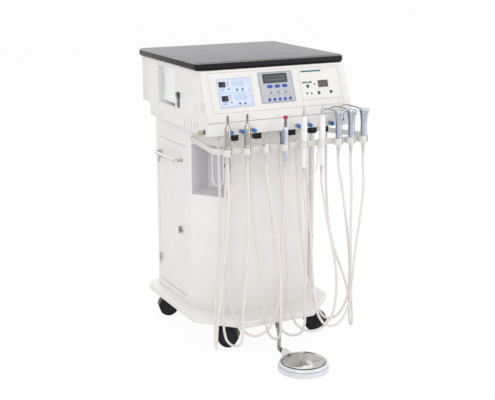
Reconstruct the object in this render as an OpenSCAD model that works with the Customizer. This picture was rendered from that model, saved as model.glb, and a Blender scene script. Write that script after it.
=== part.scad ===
// Portable dental treatment cart. Millimetres, +Z up, floor at z = 0, front faces -Y,
// origin on the floor below the middle of the worktop.

/* [Worktop] */
// Width of the worktop slab
top_w = 600; // [590:2:640]
// Depth of the worktop slab
top_d = 540; // [530:2:580]
// Thickness of the worktop slab
top_t = 28; // [22:1:34]
// Height of the worktop surface above the floor
top_z = 1076; // [1060:2:1110]
// Radius of the slab's rounded upper and lower edges
top_edge_r = 9; // [4:1:10]
// Radius of the slab's corners in plan
top_corner_r = 16; // [12:1:30]

/* [Control housing] */
// Width of the control housing
house_w = 582; // [576:2:588]
// Distance from the middle of the cart back to the housing's rear wall
house_back = 250; // [236:2:262]
// Height of the housing's underside above the floor
house_z = 830; // [824:1:836]
// Depth of the raised tier at the housing's rear
tier_d = 73; // [50:1:90]
// Height of the tier's underside above the housing's underside
tier_h = 47; // [30:1:60]
// Thickness of the housing's sheet walls
sheet = 2.5; // [2:0.25:4]
// Distance from the middle forward to the control panel's top edge
panel_top_out = 281; // [275:1:286]
// Distance from the middle forward to the control panel's foot
panel_foot_out = 349; // [340:1:352]
// Thickness of the control panel's moulding, front to back
bezel_t = 14; // [10:1:20]
// Height of the valve strip below the control panel
strip_h = 46; // [40:1:54]
// Thickness of the valve strip
strip_t = 6; // [4:0.5:9]

/* [Side pocket and switch] */
// Length of the pocket in the left side
pocket_l = 160; // [120:2:170]
// Height of the pocket
pocket_h = 142; // [100:2:146]
// Depth of the pocket
pocket_d = 40; // [25:1:60]
// Height of the rocker switch
rocker_h = 58; // [40:1:66]
// Width of the rocker switch
rocker_w = 26; // [20:1:30]
// Tilt of the rocker to each side
rocker_tilt = 8; // [4:1:12]

/* [Valves and tools] */
// Spacing of the flow valves along the strip
valve_pitch = 45; // [40:1:50]
// Radius of the blue flow knobs
knob_r = 7.5; // [6:0.5:9]
// Length of the blue flow knobs
knob_l = 13; // [10:1:16]
// Radius of the valve stems
stem_r = 3; // [2:0.25:4]
// Spacing of the six left tool holders
holder_pitch = 75; // [70:1:78]
// Spacing of the three right tool holders
syringe_pitch = 53; // [50:1:58]
// Distance from the middle forward to the tools' axes
tool_out = 404; // [400:1:412]
// Height of the tool holders' middle above the floor
holder_z = 782; // [778:1:790]
// Height of each tool holder
holder_h = 24; // [18:1:28]
// Outer radius of each tool holder
holder_r = 17; // [15:0.5:19]
// Radius of the bore in each tool holder
holder_bore = 10.3; // [9.5:0.1:11.5]
// Width of the slot in each tool holder's front
holder_slot = 14; // [10:0.5:15]
// Thickness of the holder rail
rail_t = 6; // [4:0.5:8]
// Height of the holder rail
rail_h = 20; // [14:1:24]
// Bend radius of the holder rail
rail_bend = 36; // [25:1:45]
// Diameter of the tool hoses
hose_d = 9; // [7:0.5:10]
// Length of a syringe's nozzle
nozzle_l = 84; // [70:1:90]

/* [Cabinet] */
// Width of the cabinet
cab_w = 510; // [490:2:520]
// Distance from the middle back to the cabinet's rear wall
cab_back = 212; // [200:2:236]
// Distance from the middle forward to the cabinet's front wall
cab_front = 242; // [236:1:250]
// Width of each corner chamfer, measured along X
cham_x = 108; // [90:1:115]
// Depth of each corner chamfer, measured along Y
cham_y = 137; // [120:1:145]
// Height of the open compartment in the left chamfer
niche_h = 190; // [150:2:200]
// Depth of the open compartment
niche_d = 135; // [100:1:145]
// Height of the open compartment's floor above the ground
niche_z = 572; // [560:1:580]
// Length of the door in the left side
door_l = 262; // [230:1:266]
// Height of the door
door_h = 585; // [520:1:600]
// Height of the door's lower edge above the floor
door_z = 158; // [150:1:170]
// Thickness of the door panel
door_t = 18; // [14:1:22]
// Length of the bow handle
handle_l = 196; // [150:1:210]
// Radius of the bow handle's rod
handle_r = 5; // [4:0.5:6]

/* [Base and castors] */
// Width of the base plate
base_w = 580; // [560:2:600]
// Distance from the middle back to the base plate's rear edge
base_back = 272; // [250:1:280]
// Distance from the middle forward to the base plate's front edge
base_front = 340; // [330:1:344]
// Thickness of the base plate
base_t = 25; // [20:1:30]
// Height of the base plate's underside above the floor
base_z = 101; // [98:1:108]
// Width and depth of the base plate's front chamfers
base_cham = 142; // [120:1:150]
// Radius of the castor wheels
wheel_r = 37.5; // [34:0.5:38]
// Width of each castor wheel
wheel_w = 17; // [14:0.5:20]
// Distance of a castor's axle behind its stem
castor_trail = 28; // [20:1:30]

/* [Foot control] */
// Radius of the foot control's base ring
foot_r = 93; // [86:1:98]
// Radius of the pressed disc
disc_r = 79; // [70:1:80]
// Height of the base ring
foot_h = 30; // [24:1:34]
// Rise of the domed disc
dome_h = 21; // [12:1:24]
// Travel of the disc when it is pressed
press = 4; // [2:0.5:5]
// Diameter of the foot control's hose
foot_hose_d = 14; // [12:1:16]

/* [Hidden] */
$fn = 48;

// Clearances
gap = 0.3;
running = 0.05;
seat = 0.15;

// Heights and planes that several pieces share
slab_under = top_z - top_t;
strip_top = house_z + strip_h;
panel_lean = atan((panel_foot_out - panel_top_out) / (slab_under - strip_top));
panel_len = (slab_under - strip_top) / cos(panel_lean);
bezel_run = bezel_t / cos(panel_lean);
strip_front = panel_foot_out + 3;
base_top = base_z + base_t;
cham_len = sqrt(cham_x * cham_x + cham_y * cham_y);
cham_turn = atan(cham_y / cham_x);
side_front = cab_front - cham_y;
front_half = cab_w / 2 - cham_x;

// Plan outline of the cabinet, drawn in by an inset
function cab_outline(i) = let (
    side = cab_w / 2 - i,
    shoulder = -side_front + i * (cham_len - cham_y) / cham_x,
    front = front_half - i * (cham_len - cham_x) / cham_y)
    [[-side, cab_back - i], [-side, shoulder], [-front, -cab_front + i],
     [front, -cab_front + i], [side, shoulder], [side, cab_back - i]];

// Plan outline of the base plate, drawn in by an inset
base_rear_cham = 34;
function base_outline(i) = let (
    w = base_w / 2 - i, b = base_back - i, f = base_front - i,
    c = base_cham - i * 0.586, r = base_rear_cham - i * 0.586)
    [[-w, b - r], [-w, -f + c], [-w + c, -f], [w - c, -f], [w, -f + c], [w, b - r],
     [w - r, b], [-w + r, b]];

// A profile drawn in the Y-Z plane and carried along X, centred
module along_x(length) {
    rotate([90, 0, 90])
        linear_extrude(height = length, center = true)
            children();
}

// A block between two corners
module block(low, high) {
    translate(low)
        cube(high - low);
}

// The control panel's own plane: x to the right, z up the face, -y out of it
module on_panel() {
    translate([0, -panel_top_out, slab_under])
        rotate([-panel_lean, 0, 0])
            children();
}

// A plate on the panel's plane, between two heights measured down from the top edge
module panel_plate(x0, x1, down0, down1, y0, y1) {
    block([x0, y0, -down1], [x1, y1, -down0]);
}

// ---------- worktop ----------

module edge_profile() {
    square([top_corner_r - top_edge_r, top_t]);
    translate([0, top_edge_r])
        square([top_corner_r, top_t - 2 * top_edge_r]);
    for (z = [top_edge_r, top_t - top_edge_r])
        translate([top_corner_r - top_edge_r, z])
            circle(r = top_edge_r);
}

module table_top() {
    cx = top_w / 2 - top_corner_r;
    cy = top_d / 2 - top_corner_r;
    color([0.13, 0.13, 0.15])
    translate([0, 0, slab_under]) {
        block([-cx, -cy, 0], [cx, cy, top_t]);
        for (k = [0 : 3]) {
            along = k % 2 == 0 ? cy : cx;
            out = k % 2 == 0 ? cx : cy;
            rotate([0, 0, 90 * k])
                translate([out, 0, 0])
                    rotate([90, 0, 0])
                        linear_extrude(height = 2 * along, center = true)
                            edge_profile();
            rotate([0, 0, 90 * k])
                translate([out, along, 0])
                    rotate_extrude(angle = 90)
                        edge_profile();
        }
    }
}

// ---------- control housing ----------

shell_front_top = panel_top_out - bezel_run;
shell_front_foot = panel_foot_out - bezel_run;
strip_back = strip_front - strip_t;
tier_y = house_back - tier_d;
tier_z = house_z + tier_h;

module house_profile(i, open_front) {
    reach = open_front ? 60 : 0;
    lift = open_front ? 1 : 0;
    polygon([
        [-shell_front_top - reach, slab_under + lift],
        [-shell_front_foot - reach, strip_top],
        [-strip_back - reach, strip_top],
        [-strip_back - reach, house_z + i],
        [tier_y - i, house_z + i],
        [tier_y - i, tier_z + i],
        [house_back - i, tier_z + i],
        [house_back - i, slab_under + lift]]);
}

// Pocket in the left side
pocket_y = 10;
pocket_z = 962;
pocket_wall = 2;
// Rocker in the left side, in front of the pocket
rocker_y = -93;
rocker_z = 924;
rocker_depth = 14;
rocker_pin_r = 2;
// Ventilation slots near the housing's front
vent_w = 4;
vent_h = 30;
vent_pitch = 28;
vent_y = -148;
vent_z = 850;
vent_count = 5;

module side_cut(y, z, l, h) {
    block([-house_w / 2 - 1, y - l / 2, z - h / 2], [-house_w / 2 + sheet + 1, y + l / 2, z + h / 2]);
}

module switch_well() {
    wall = 2;
    l = rocker_w + 2 * gap;
    h = rocker_h + 2 * gap;
    difference() {
        block([-house_w / 2, rocker_y - l / 2 - wall, rocker_z - h / 2 - wall],
            [-house_w / 2 + rocker_depth + wall, rocker_y + l / 2 + wall, rocker_z + h / 2 + wall]);
        block([-house_w / 2 - 1, rocker_y - l / 2, rocker_z - h / 2],
            [-house_w / 2 + rocker_depth, rocker_y + l / 2, rocker_z + h / 2]);
    }
}

// Rear sockets: a mains inlet and two quick connectors' holes
inlet_w = 48;
inlet_h = 28;
inlet_x = 150;
inlet_z = 940;

module housing_shell() {
    well_l = rocker_w + 2 * gap;
    well_h = rocker_h + 2 * gap;
    color([0.90, 0.88, 0.83])
    difference() {
        union() {
            difference() {
                along_x(house_w)
                    house_profile(0, false);
                along_x(house_w - 2 * sheet)
                    house_profile(sheet, true);
            }
            switch_well();
        }
        side_cut(pocket_y, pocket_z, pocket_l + 2 * seat, pocket_h + 2 * seat);
        side_cut(rocker_y, rocker_z, well_l, well_h);
        for (k = [0 : vent_count - 1])
            side_cut(vent_y - k * vent_pitch, vent_z, vent_w, vent_h);
        for (k = [0, 1])
            side_cut(-296 - k * 12, 926, vent_w, 40);
        // bores that carry the rocker's pivot
        translate([-house_w / 2 + rocker_depth / 2, rocker_y, rocker_z])
            rotate([90, 0, 0])
                cylinder(r = rocker_pin_r + running, h = rocker_w + 2 * gap + 3, center = true);
        // rear inlet and louvres
        block([inlet_x, house_back - sheet - 1, inlet_z], [inlet_x + inlet_w, house_back + 1, inlet_z + inlet_h]);
        for (k = [0 : 8])
            block([-190, house_back - sheet - 1, 905 + k * 13], [-40, house_back + 1, 910 + k * 13]);
        // holes for the hoses' glands
        for (x = gland_x)
            translate([x, -gland_out, house_z - 1])
                cylinder(r = gland_neck + running, h = sheet + 2);
        translate([conduit_x, -conduit_out, house_z - 1])
            cylinder(r = conduit_r - 2, h = sheet + 2);
    }
}

// White insert of the side pocket: an open tray and a plate with a finger notch
plate_recess = 6;
plate_t = 3;
notch_r = 150;
notch_bite = 16;

module pocket_liner() {
    l = pocket_l;
    h = pocket_h;
    lip = 4;
    x0 = -house_w / 2;
    color([0.96, 0.96, 0.95])
    difference() {
        union() {
            block([x0, pocket_y - l / 2, pocket_z - h / 2], [x0 + pocket_d, pocket_y + l / 2, pocket_z + h / 2]);
            block([x0 - 1.5, pocket_y - l / 2 - lip, pocket_z - h / 2 - lip],
                [x0, pocket_y + l / 2 + lip, pocket_z + h / 2 + lip]);
        }
        difference() {
            block([x0 - 2, pocket_y - l / 2 + pocket_wall, pocket_z - h / 2 + pocket_wall],
                [x0 + pocket_d - pocket_wall, pocket_y + l / 2 - pocket_wall, pocket_z + h / 2 - pocket_wall]);
            pocket_plate();
        }
    }
}

module pocket_plate() {
    x0 = -house_w / 2 + plate_recess;
    rear = pocket_y + pocket_l / 2 - pocket_wall - 26;
    difference() {
        block([x0, pocket_y - pocket_l / 2, pocket_z - pocket_h / 2 + 14],
            [x0 + plate_t, rear, pocket_z + pocket_h / 2]);
        translate([x0 - 1, rear + notch_r - notch_bite, pocket_z + 6])
            rotate([0, 90, 0])
                cylinder(r = notch_r, h = plate_t + 2, $fn = 96);
    }
}

module rocker_switch() {
    bow_r = rocker_h / 2 + 6;
    color([0.07, 0.09, 0.10])
    translate([-house_w / 2 + rocker_depth / 2, rocker_y, rocker_z])
        rotate([0, -rocker_tilt, 0]) {
            difference() {
                block([-rocker_depth / 2 - 3, -rocker_w / 2, -rocker_h / 2 + 3],
                    [1, rocker_w / 2, rocker_h / 2 - 3]);
                // shallow saddle across the pressed face
                translate([-rocker_depth / 2 - 3 - bow_r + 2.2, 0, 0])
                    rotate([90, 0, 0])
                        cylinder(r = bow_r, h = rocker_w + 2, center = true, $fn = 96);
            }
            rotate([90, 0, 0])
                cylinder(r = 3.5, h = rocker_w, center = true);
            rotate([90, 0, 0])
                cylinder(r = rocker_pin_r, h = rocker_w + 2 * gap + 2, center = true);
        }
}

// ---------- control panel ----------

face_t = 3;
keypad_x = [-235, -100];
keypad_down = [30, 134];
centre_x = [-72, 67];
centre_down = [16, 130];
right_x = [92, 258];
right_down = [14, 130];
module_t = 5;
module_proud = 1;

module panel_window(x, down, play) {
    panel_plate(x[0] - play, x[1] + play, down[0] - play, down[1] + play, -2, bezel_t + 10);
}

function face_y(z) = -panel_top_out - (slab_under - z) * tan(panel_lean);

module bezel_profile(wall, open_back) {
    front = wall / cos(panel_lean);
    polygon([
        for (z = [slab_under - wall, strip_top + wall]) [face_y(z) + front, z],
        for (z = [strip_top + wall, slab_under - wall]) [face_y(z) + bezel_run + open_back, z]]);
}

module control_bezel() {
    color([0.92, 0.90, 0.84])
    difference() {
        along_x(house_w)
            bezel_profile(0, 0);
        along_x(house_w - 2 * face_t)
            bezel_profile(face_t, 5);
        on_panel() {
            panel_window(keypad_x, keypad_down, seat);
            panel_window(centre_x, centre_down, seat);
            panel_window(right_x, right_down, seat);
            // shallow groove that frames the three modules
            difference() {
                panel_plate(-265, 265, 7, 153, -1, 1);
                panel_plate(-262.5, 262.5, 9.5, 150.5, -2, 2);
            }
        }
    }
}

// Window and key places on the panel, as [x, distance down, half width or radius, half height]
lcd = [-5, 41, 45, 13];
small_screens = [[-215, 51, 13, 10], [-212, 101, 13, 10]];
timer_screen = [188, 73, 21, 13];
oval_keys = [for (k = [-1 : 1]) [k * 30, 70]];
grey_keys = [for (k = [-1 : 1]) [k * 30, 93]];
round_keys = [for (k = [-2 : 2]) [2 + k * 21, 117.5]];
pad_keys = [for (row = [0, 1]) for (k = [0, 1]) [-160 + k * 21 + row * 2, 72 + row * 50]];
teal_keys = [[123, 79], [165, 106], [216, 105]];
round_key_r = 6;
grey_key_r = 5;
pad_key_r = 4;
teal_key_r = 6.5;
oval_spread = 5;

module key_cuts(extra) {
    for (p = round_keys)
        key_hole(p, round_key_r + extra);
    for (p = grey_keys)
        key_hole(p, grey_key_r + extra);
    for (p = oval_keys)
        key_hole(p, round_key_r + extra, oval_spread);
}

module key_hole(p, r, spread = 0) {
    translate([p[0], 0, -p[1]])
        rotate([90, 0, 0])
            linear_extrude(height = 30, center = true)
                key_outline(r, spread);
}

module screen_cut(s, play) {
    panel_plate(s[0] - s[2] - play, s[0] + s[2] + play, s[1] - s[3] - play, s[1] + s[3] + play, -5, 20);
}

module plate_body(x, down) {
    panel_plate(x[0], x[1], down[0], down[1], -module_proud, module_t);
    // rear flange that holds the plate behind the moulding
    panel_plate(x[0] - 5, x[1] + 5, down[0] - 5, down[1] + 5, face_t + 0.2, face_t + 2);
}

module left_keypad() {
    color([0.80, 0.86, 0.95])
    on_panel()
        difference() {
            plate_body(keypad_x, keypad_down);
            for (s = small_screens)
                screen_cut(s, seat);
            for (p = pad_keys)
                key_hole(p, pad_key_r + seat);
        }
}

module centre_module() {
    color([0.62, 0.64, 0.69])
    on_panel()
        difference() {
            plate_body(centre_x, centre_down);
            screen_cut(lcd, seat);
            key_cuts(seat);
        }
}

module right_module() {
    color([0.91, 0.89, 0.83])
    on_panel()
        difference() {
            plate_body(right_x, right_down);
            screen_cut(timer_screen, seat);
            for (p = teal_keys)
                key_hole(p, teal_key_r + seat);
            // recess for the plain stripe
            panel_plate(103, 187, 20, 28, -2, 0);
        }
}

module screen(s) {
    panel_plate(s[0] - s[2], s[0] + s[2], s[1] - s[3], s[1] + s[3], -0.4, module_t);
    panel_plate(s[0] - s[2] - 3, s[0] + s[2] + 3, s[1] - s[3] - 3, s[1] + s[3] + 3, module_t, module_t + 2);
}

module display_windows() {
    color([0.16, 0.20, 0.19])
    on_panel() {
        screen(lcd);
        screen(timer_screen);
        for (s = small_screens)
            screen(s);
    }
}

// A key with a stepped cap; a spread makes it a long one
module key(p, r, spread = 0) {
    for (level = [[1.5, 1], [0, module_t + 1.2], [-1, module_t + 2]])
        translate([p[0], module_t, -p[1]])
            rotate([90, 0, 0])
                linear_extrude(height = level[1])
                    key_outline(r + level[0], spread);
}

module key_outline(r, spread) {
    if (spread == 0)
        circle(r = r);
    else {
        square(2 * [spread, r - 0.1], center = true);
        for (side = [-spread, spread])
            translate([side, 0])
                circle(r = r);
    }
}

module soft_keys() {
    color([0.15, 0.35, 0.75])
    on_panel()
        translate([0, 1, 0]) {
            for (p = round_keys)
                key(p, round_key_r);
            for (p = grey_keys)
                key(p, grey_key_r);
            for (p = teal_keys)
                key(p, teal_key_r);
            for (p = pad_keys)
                key(p, pad_key_r);
            for (p = oval_keys)
                key(p, round_key_r, oval_spread);
        }
}

// ---------- valve strip ----------

strip_half = house_w / 2;
valve_z = house_z + 14;
valve_x = concat([for (k = [0 : 2]) -214 + k * valve_pitch],
                 [for (k = [0, 1, 3]) 56 + k * valve_pitch]);
nut_r = 8;
nut_h = 4;
barrel_r = 5.5;
barrel_l = 12;

module out_of_strip() {
    rotate([90, 0, 0])
        children();
}

module valve_strip() {
    edge = 2;
    color([0.94, 0.93, 0.90])
    difference() {
        along_x(2 * strip_half)
            union() {
                translate([-strip_front + edge, house_z])
                    square([strip_t - edge, strip_h - gap]);
                translate([-strip_front, house_z + edge])
                    square([strip_t, strip_h - gap - 2 * edge]);
                for (z = [house_z + edge, strip_top - gap - edge])
                    translate([-strip_front + edge, z])
                        circle(r = edge);
            }
        for (x = valve_x)
            translate([x, -strip_front + 3, valve_z])
                out_of_strip()
                    cylinder(r = barrel_r + seat, h = 20, center = true);
    }
}

module needle_valves() {
    color([0.78, 0.74, 0.66])
    for (x = valve_x)
        translate([x, -strip_front, valve_z])
            out_of_strip() {
                cylinder(r = nut_r, h = nut_h, $fn = 6);
                translate([0, 0, -strip_t - 6])
                    cylinder(r = barrel_r, h = strip_t + 6 + barrel_l);
                cylinder(r = stem_r, h = barrel_l + gap + knob_l);
            }
}

module flow_knob(k) {
    grip = 12;
    color([0.05, 0.35, 0.80])
    translate([valve_x[k], -strip_front - barrel_l - gap, valve_z])
        out_of_strip()
            difference() {
                union() {
                    cylinder(r = knob_r - 0.8, h = knob_l);
                    cylinder(r = knob_r, h = knob_l - 1.5);
                }
                translate([0, 0, -1])
                    cylinder(r = stem_r + running, h = knob_l + 2);
                for (a = [0 : grip - 1])
                    rotate([0, 0, a * 360 / grip])
                        translate([knob_r + 0.5, 0, 3])
                            cylinder(r = 1.2, h = knob_l, $fn = 16);
            }
}

module flow_knob_1() { flow_knob(0); }
module flow_knob_2() { flow_knob(1); }
module flow_knob_3() { flow_knob(2); }
module flow_knob_4() { flow_knob(3); }
module flow_knob_5() { flow_knob(4); }
module flow_knob_6() { flow_knob(5); }

// Coupler on the housing's left side, and the regulator in the open compartment
coupler_out = 316;
coupler_z = 842;

module air_fittings() {
    color([0.25, 0.24, 0.22]) {
        translate([-house_w / 2, -coupler_out, coupler_z])
            rotate([0, -90, 0]) {
                cylinder(r = 9, h = 4, $fn = 6);
                cylinder(r = 6.5, h = 16);
                translate([0, 0, 6])
                    difference() {
                        cylinder(r = 8.5, h = 14);
                        for (a = [0 : 11])
                            rotate([0, 0, a * 30])
                                translate([9.2, 0, 2])
                                    cylinder(r = 1.4, h = 14, $fn = 16);
                    }
                cylinder(r = 5, h = 24);
            }
        in_niche()
            translate([20, niche_d, niche_h - 96]) {
                rotate([90, 0, 0])
                    cylinder(r = 6, h = 30);
                translate([0, -30, -18])
                    cylinder(r = 11, h = 36);
                translate([0, -30, 18])
                    cylinder(r = 8, h = 10);
                translate([0, -30, 28])
                    cylinder(r = 12, h = 22);
                translate([0, -30, -30])
                    cylinder(r = 7, h = 12);
            }
    }
}

// Black valve blocks that hang under the housing's front edge
switch_x = [-185, -96, 42, 129, 184];
switch_w = [24, 28, 28, 30, 18];
switch_h = 22;
switch_d = 24;
button_x = 243;

module holder_switches() {
    color([0.06, 0.06, 0.07])
    for (k = [0 : len(switch_x) - 1])
        translate([switch_x[k], -strip_back + 1, house_z]) {
            block([-switch_w[k] / 2, 0, -switch_h], [switch_w[k] / 2, switch_d, 0]);
            translate([0, switch_d / 2, -switch_h - 8])
                cylinder(r = 3, h = 8);
        }
    color([0.06, 0.06, 0.07])
    translate([button_x, -strip_front, valve_z + 9])
        out_of_strip()
            cylinder(r = 7.5, h = 9);
}

// Glands under the housing, one for each tool hose, from left to right
gland_out = 300;
gland_neck = 6;
gland_flange = 9;
gland_drop = 20;
gland_x = [-230, -198, -166, -104, -40, 12, 84, 118, 212];
foot_gland = [12, -298];

module hose_fittings() {
    color([0.80, 0.80, 0.78]) {
        for (x = gland_x)
            translate([x, -gland_out, house_z]) {
                cylinder(r = gland_neck, h = sheet + 6);
                translate([0, 0, -4])
                    cylinder(r = gland_flange, h = 4);
                translate([0, 0, -gland_drop])
                    cylinder(r1 = hose_d / 2 + 1, r2 = gland_neck + 1, h = gland_drop - 4);
            }
        // coupling that rests in the third, empty holder
        translate([tool_x(2), -tool_out, 0])
            rotate_extrude()
                polygon([[0, spare_z], [hose_d / 2 + 1, spare_z], [hose_d / 2 + 1, spare_z + 14],
                         [holder_bore - 2, spare_z + 18], [holder_bore - 2, holder_top + gap],
                         [holder_bore + 2, holder_top + gap], [holder_bore + 2, holder_top + 4],
                         [4, holder_top + 7], [0, holder_top + 7]]);
        // gland under the base plate for the foot control's hose
        translate([foot_gland[0], foot_gland[1], base_z - 14])
            cylinder(r1 = foot_hose_d / 2 + 1.5, r2 = foot_hose_d / 2 + 5, h = 14);
    }
}

// ---------- holder rail and tools ----------

holder_low = holder_z - holder_h / 2;
holder_top = holder_z + holder_h / 2;
rail_y = -tool_out + holder_r - 2 + rail_t / 2;
rail_left = -278;
rail_right = 352;
first_tool = -244;
first_syringe = 201;
function tool_x(k) = k < 6 ? first_tool + k * holder_pitch : first_syringe + (k - 6) * syringe_pitch;

// Where an arm of the rail starts behind its bend, and how it splays back to the cabinet
left_splay = 7;
right_splay = -25;

// A bend of the rail, drawn in by a hair so that its ends tuck into the straights
module rail_bend_piece(from, turn) {
    tuck = 1.5;
    hair = 0.2;
    rotate([0, 0, from - tuck])
        rotate_extrude(angle = turn + 2 * tuck)
            translate([rail_bend, 0])
                square([rail_t - 2 * hair, rail_h - 2 * hair], center = true);
}

module rail_arm(side, splay) {
    arm = 330;
    rotate([0, 0, -splay])
        translate([side * rail_bend, arm / 2, 0])
            cube([rail_t, arm, rail_h], center = true);
}

module holder_rail() {
    yc = rail_y + rail_bend;
    xl = rail_left + rail_bend;
    xr = rail_right - rail_bend;
    color([0.93, 0.93, 0.92])
    difference() {
        translate([0, yc, holder_z]) {
            translate([(xl + xr) / 2, -rail_bend, 0])
                cube([xr - xl, rail_t, rail_h], center = true);
            translate([xl, 0, 0]) {
                rail_bend_piece(180 - left_splay, 90 + left_splay);
                rail_arm(-1, left_splay);
            }
            translate([xr, 0, 0]) {
                rail_bend_piece(-90, 90 - right_splay);
                rail_arm(1, right_splay);
            }
        }
        // the arms end on the cabinet's corner faces
        translate([0, 0, holder_z - rail_h])
            linear_extrude(height = 2 * rail_h)
                polygon(cab_outline(0));
        block([-400, -side_front - 8, holder_z - rail_h], [400, cab_back, holder_z + rail_h]);
    }
}

holder_back = holder_r - 2;

module tool_holders() {
    slot_turn = 34;
    color([0.93, 0.91, 0.85])
    for (k = [0 : 8])
        translate([tool_x(k), -tool_out, holder_low])
            difference() {
                union() {
                    cylinder(r = holder_r, h = holder_h);
                    block([-holder_r + 4, 0, 0], [holder_r - 4, holder_back, holder_h]);
                }
                block([-holder_r, holder_back, -1], [holder_r, holder_r + 1, holder_h + 1]);
                translate([0, 0, -1])
                    cylinder(r = holder_bore, h = holder_h + 2);
                rotate([0, 0, slot_turn])
                    block([-holder_slot / 2, -holder_r - 1, -1], [holder_slot / 2, 0, holder_h + 1]);
            }
}

// A turned tool, drawn as radius and height above the floor
module turned(points) {
    rotate_extrude()
        polygon(points);
}

// Straight metal handpiece with a collar that rests on its holder
motor_low = 762;
module motor_handpiece(k) {
    top = holder_top + gap;
    color([0.62, 0.64, 0.67])
    translate([tool_x(k), -tool_out, 0])
        difference() {
            turned([[0, motor_low], [5.5, motor_low], [7, motor_low + 3], [7, motor_low + 12], [8.5, motor_low + 16],
                    [8.5, top], [11.8, top], [11.8, top + 4], [9.6, top + 7], [9.6, top + 66],
                    [8.6, top + 75], [7.4, top + 76], [6, top + 83], [4, top + 86], [4, top + 112], [3.2, top + 117],
                    [0, top + 117]]);
            // gripping grooves round the barrel
            for (g = [0 : 5])
                translate([0, 0, top + 16 + g * 5])
                    rotate_extrude()
                        translate([9.6, 0])
                            square([1.6, 1.6], center = true);
        }
}
module motor_handpiece_1() { motor_handpiece(0); }
module motor_handpiece_2() { motor_handpiece(1); }

endo_low = 718;
module endo_handpiece() {
    top = holder_top + gap;
    translate([tool_x(3), -tool_out, 0]) {
        color([0.66, 0.70, 0.78])
            turned([[0, endo_low], [5.5, endo_low], [6.5, endo_low + 10], [8.5, holder_low - 8], [8.5, top], [11.5, top],
                    [11.5, top + 3], [9.4, top + 6], [9.4, top + 54], [8, top + 58], [4.6, top + 60],
                    [4.6, top + 88], [8, top + 89], [8, top + 97], [6.6, top + 99], [0, top + 99]]);
        color([0.55, 0.58, 0.66])
            difference() {
                block([-20, -7, top + 0.4], [-6, 7, top + 44]);
                translate([0, 0, top])
                    cylinder(r = 8, h = 60);
            }
    }
}

scaler_low = 696;
module scaler_handpiece(k) {
    wide = holder_bore - gap;
    top = holder_top + gap;
    color([0.95, 0.95, 0.95])
    translate([tool_x(k), -tool_out, 0]) {
        turned([[0, scaler_low], [5.5, scaler_low], [7.2, scaler_low + 6], [wide, holder_low], [wide, top], [11.6, top + 4],
                [11.6, top + 58], [10, top + 84], [6.4, top + 92], [6.4, top + 96], [4.4, top + 98],
                [3.2, top + 122], [2.2, top + 128], [0, top + 128]]);
    }
}
module scaler_handpiece_1() { scaler_handpiece(4); }
module scaler_handpiece_2() { scaler_handpiece(5); }

// Air syringe: barrel, flared head and a bent nozzle that points to the left and rear
syringe_low = 750;
nozzle_r = 2;
nozzle_heading = [14, 26, 28];
nozzle_cut = [30, 12, 0];
nozzle_rise = 16;
nozzle_arc = 34;
nozzle_turn = 42;
head_r = 18.5;
head_z = 100;
button_r = 5;
button_z = 78;
button_seat = 8;

module air_syringe(k) {
    top = holder_top + gap;
    color([0.60, 0.63, 0.70])
    translate([tool_x(6 + k), -tool_out, 0])
        difference() {
            union() {
                turned([[0, syringe_low], [6, syringe_low], [7.5, syringe_low + 5], [7.5, holder_low - 4],
                        [8, holder_low], [8, top], [11.8, top], [11.8, top + 48], [13, top + 64],
                        [head_r, top + head_z - 8], [head_r, top + head_z - 2], [head_r - 3, top + head_z],
                        [0, top + head_z]]);
                rotate([0, 0, 180 - nozzle_heading[k]])
                    translate([0, 0, top + head_z - 4])
                        nozzle(nozzle_l - nozzle_cut[k]);
            }
            // socket for the button in the head's front
            translate([0, -button_seat, top + button_z])
                rotate([90, 0, 0])
                    cylinder(r = button_r + running, h = 20);
        }
}

// Rising tube, a bend and a drooping tip; the bend is a little thicker, and the tubes enter it
module nozzle(reach) {
    run = reach * 0.7;
    fall = nozzle_turn - nozzle_rise;
    up = [cos(nozzle_rise), 0, sin(nozzle_rise)];
    down = [cos(fall), 0, -sin(fall)];
    centre = run * up + nozzle_arc * [sin(nozzle_rise), 0, -cos(nozzle_rise)];
    rotate([0, 90 - nozzle_rise, 0])
        cylinder(r = nozzle_r, h = run + 1, $fn = 24);
    translate(centre)
        rotate([90, 0, 0])
            rotate_extrude(angle = nozzle_turn, start = 90 - fall)
                translate([nozzle_arc, 0])
                    circle(r = nozzle_r + 0.2, $fn = 24);
    translate(centre + nozzle_arc * [sin(fall), 0, cos(fall)] - down)
        rotate([0, 90 + fall, 0])
            cylinder(r = nozzle_r, h = 11, $fn = 24);
}

module air_syringe_1() { air_syringe(0); }
module air_syringe_2() { air_syringe(1); }
module air_syringe_3() { air_syringe(2); }

button_travel = 2;
module syringe_button(k) {
    seat_y = button_seat + button_travel + gap;
    color([0.75, 0.77, 0.80])
    translate([tool_x(6 + k), -tool_out, holder_top + gap + button_z])
        rotate([90, 0, 0]) {
            translate([0, 0, seat_y])
                cylinder(r = button_r, h = 9);
            translate([0, 0, seat_y + 9])
                cylinder(r1 = button_r, r2 = button_r - 1, h = 1);
        }
}
module syringe_button_1() { syringe_button(0); }
module syringe_button_2() { syringe_button(1); }
module syringe_button_3() { syringe_button(2); }

// ---------- cabinet ----------

cab_wall = 2.5;
niche_margin = 8;
niche_w = cham_len - 2 * niche_margin;
shelf_z = 440;
shelf_t = 3;

// The left chamfer's own frame: x along the face, y into the cabinet, z up from the niche floor
module in_niche() {
    translate([-cab_w / 2 + cham_x / 2, -side_front - cham_y / 2, niche_z])
        rotate([0, 0, -cham_turn])
            children();
}

module niche_space(grow) {
    in_niche()
        block([-niche_w / 2 - grow, -20, -grow], [niche_w / 2 + grow, niche_d + grow, niche_h + grow]);
}

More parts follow.
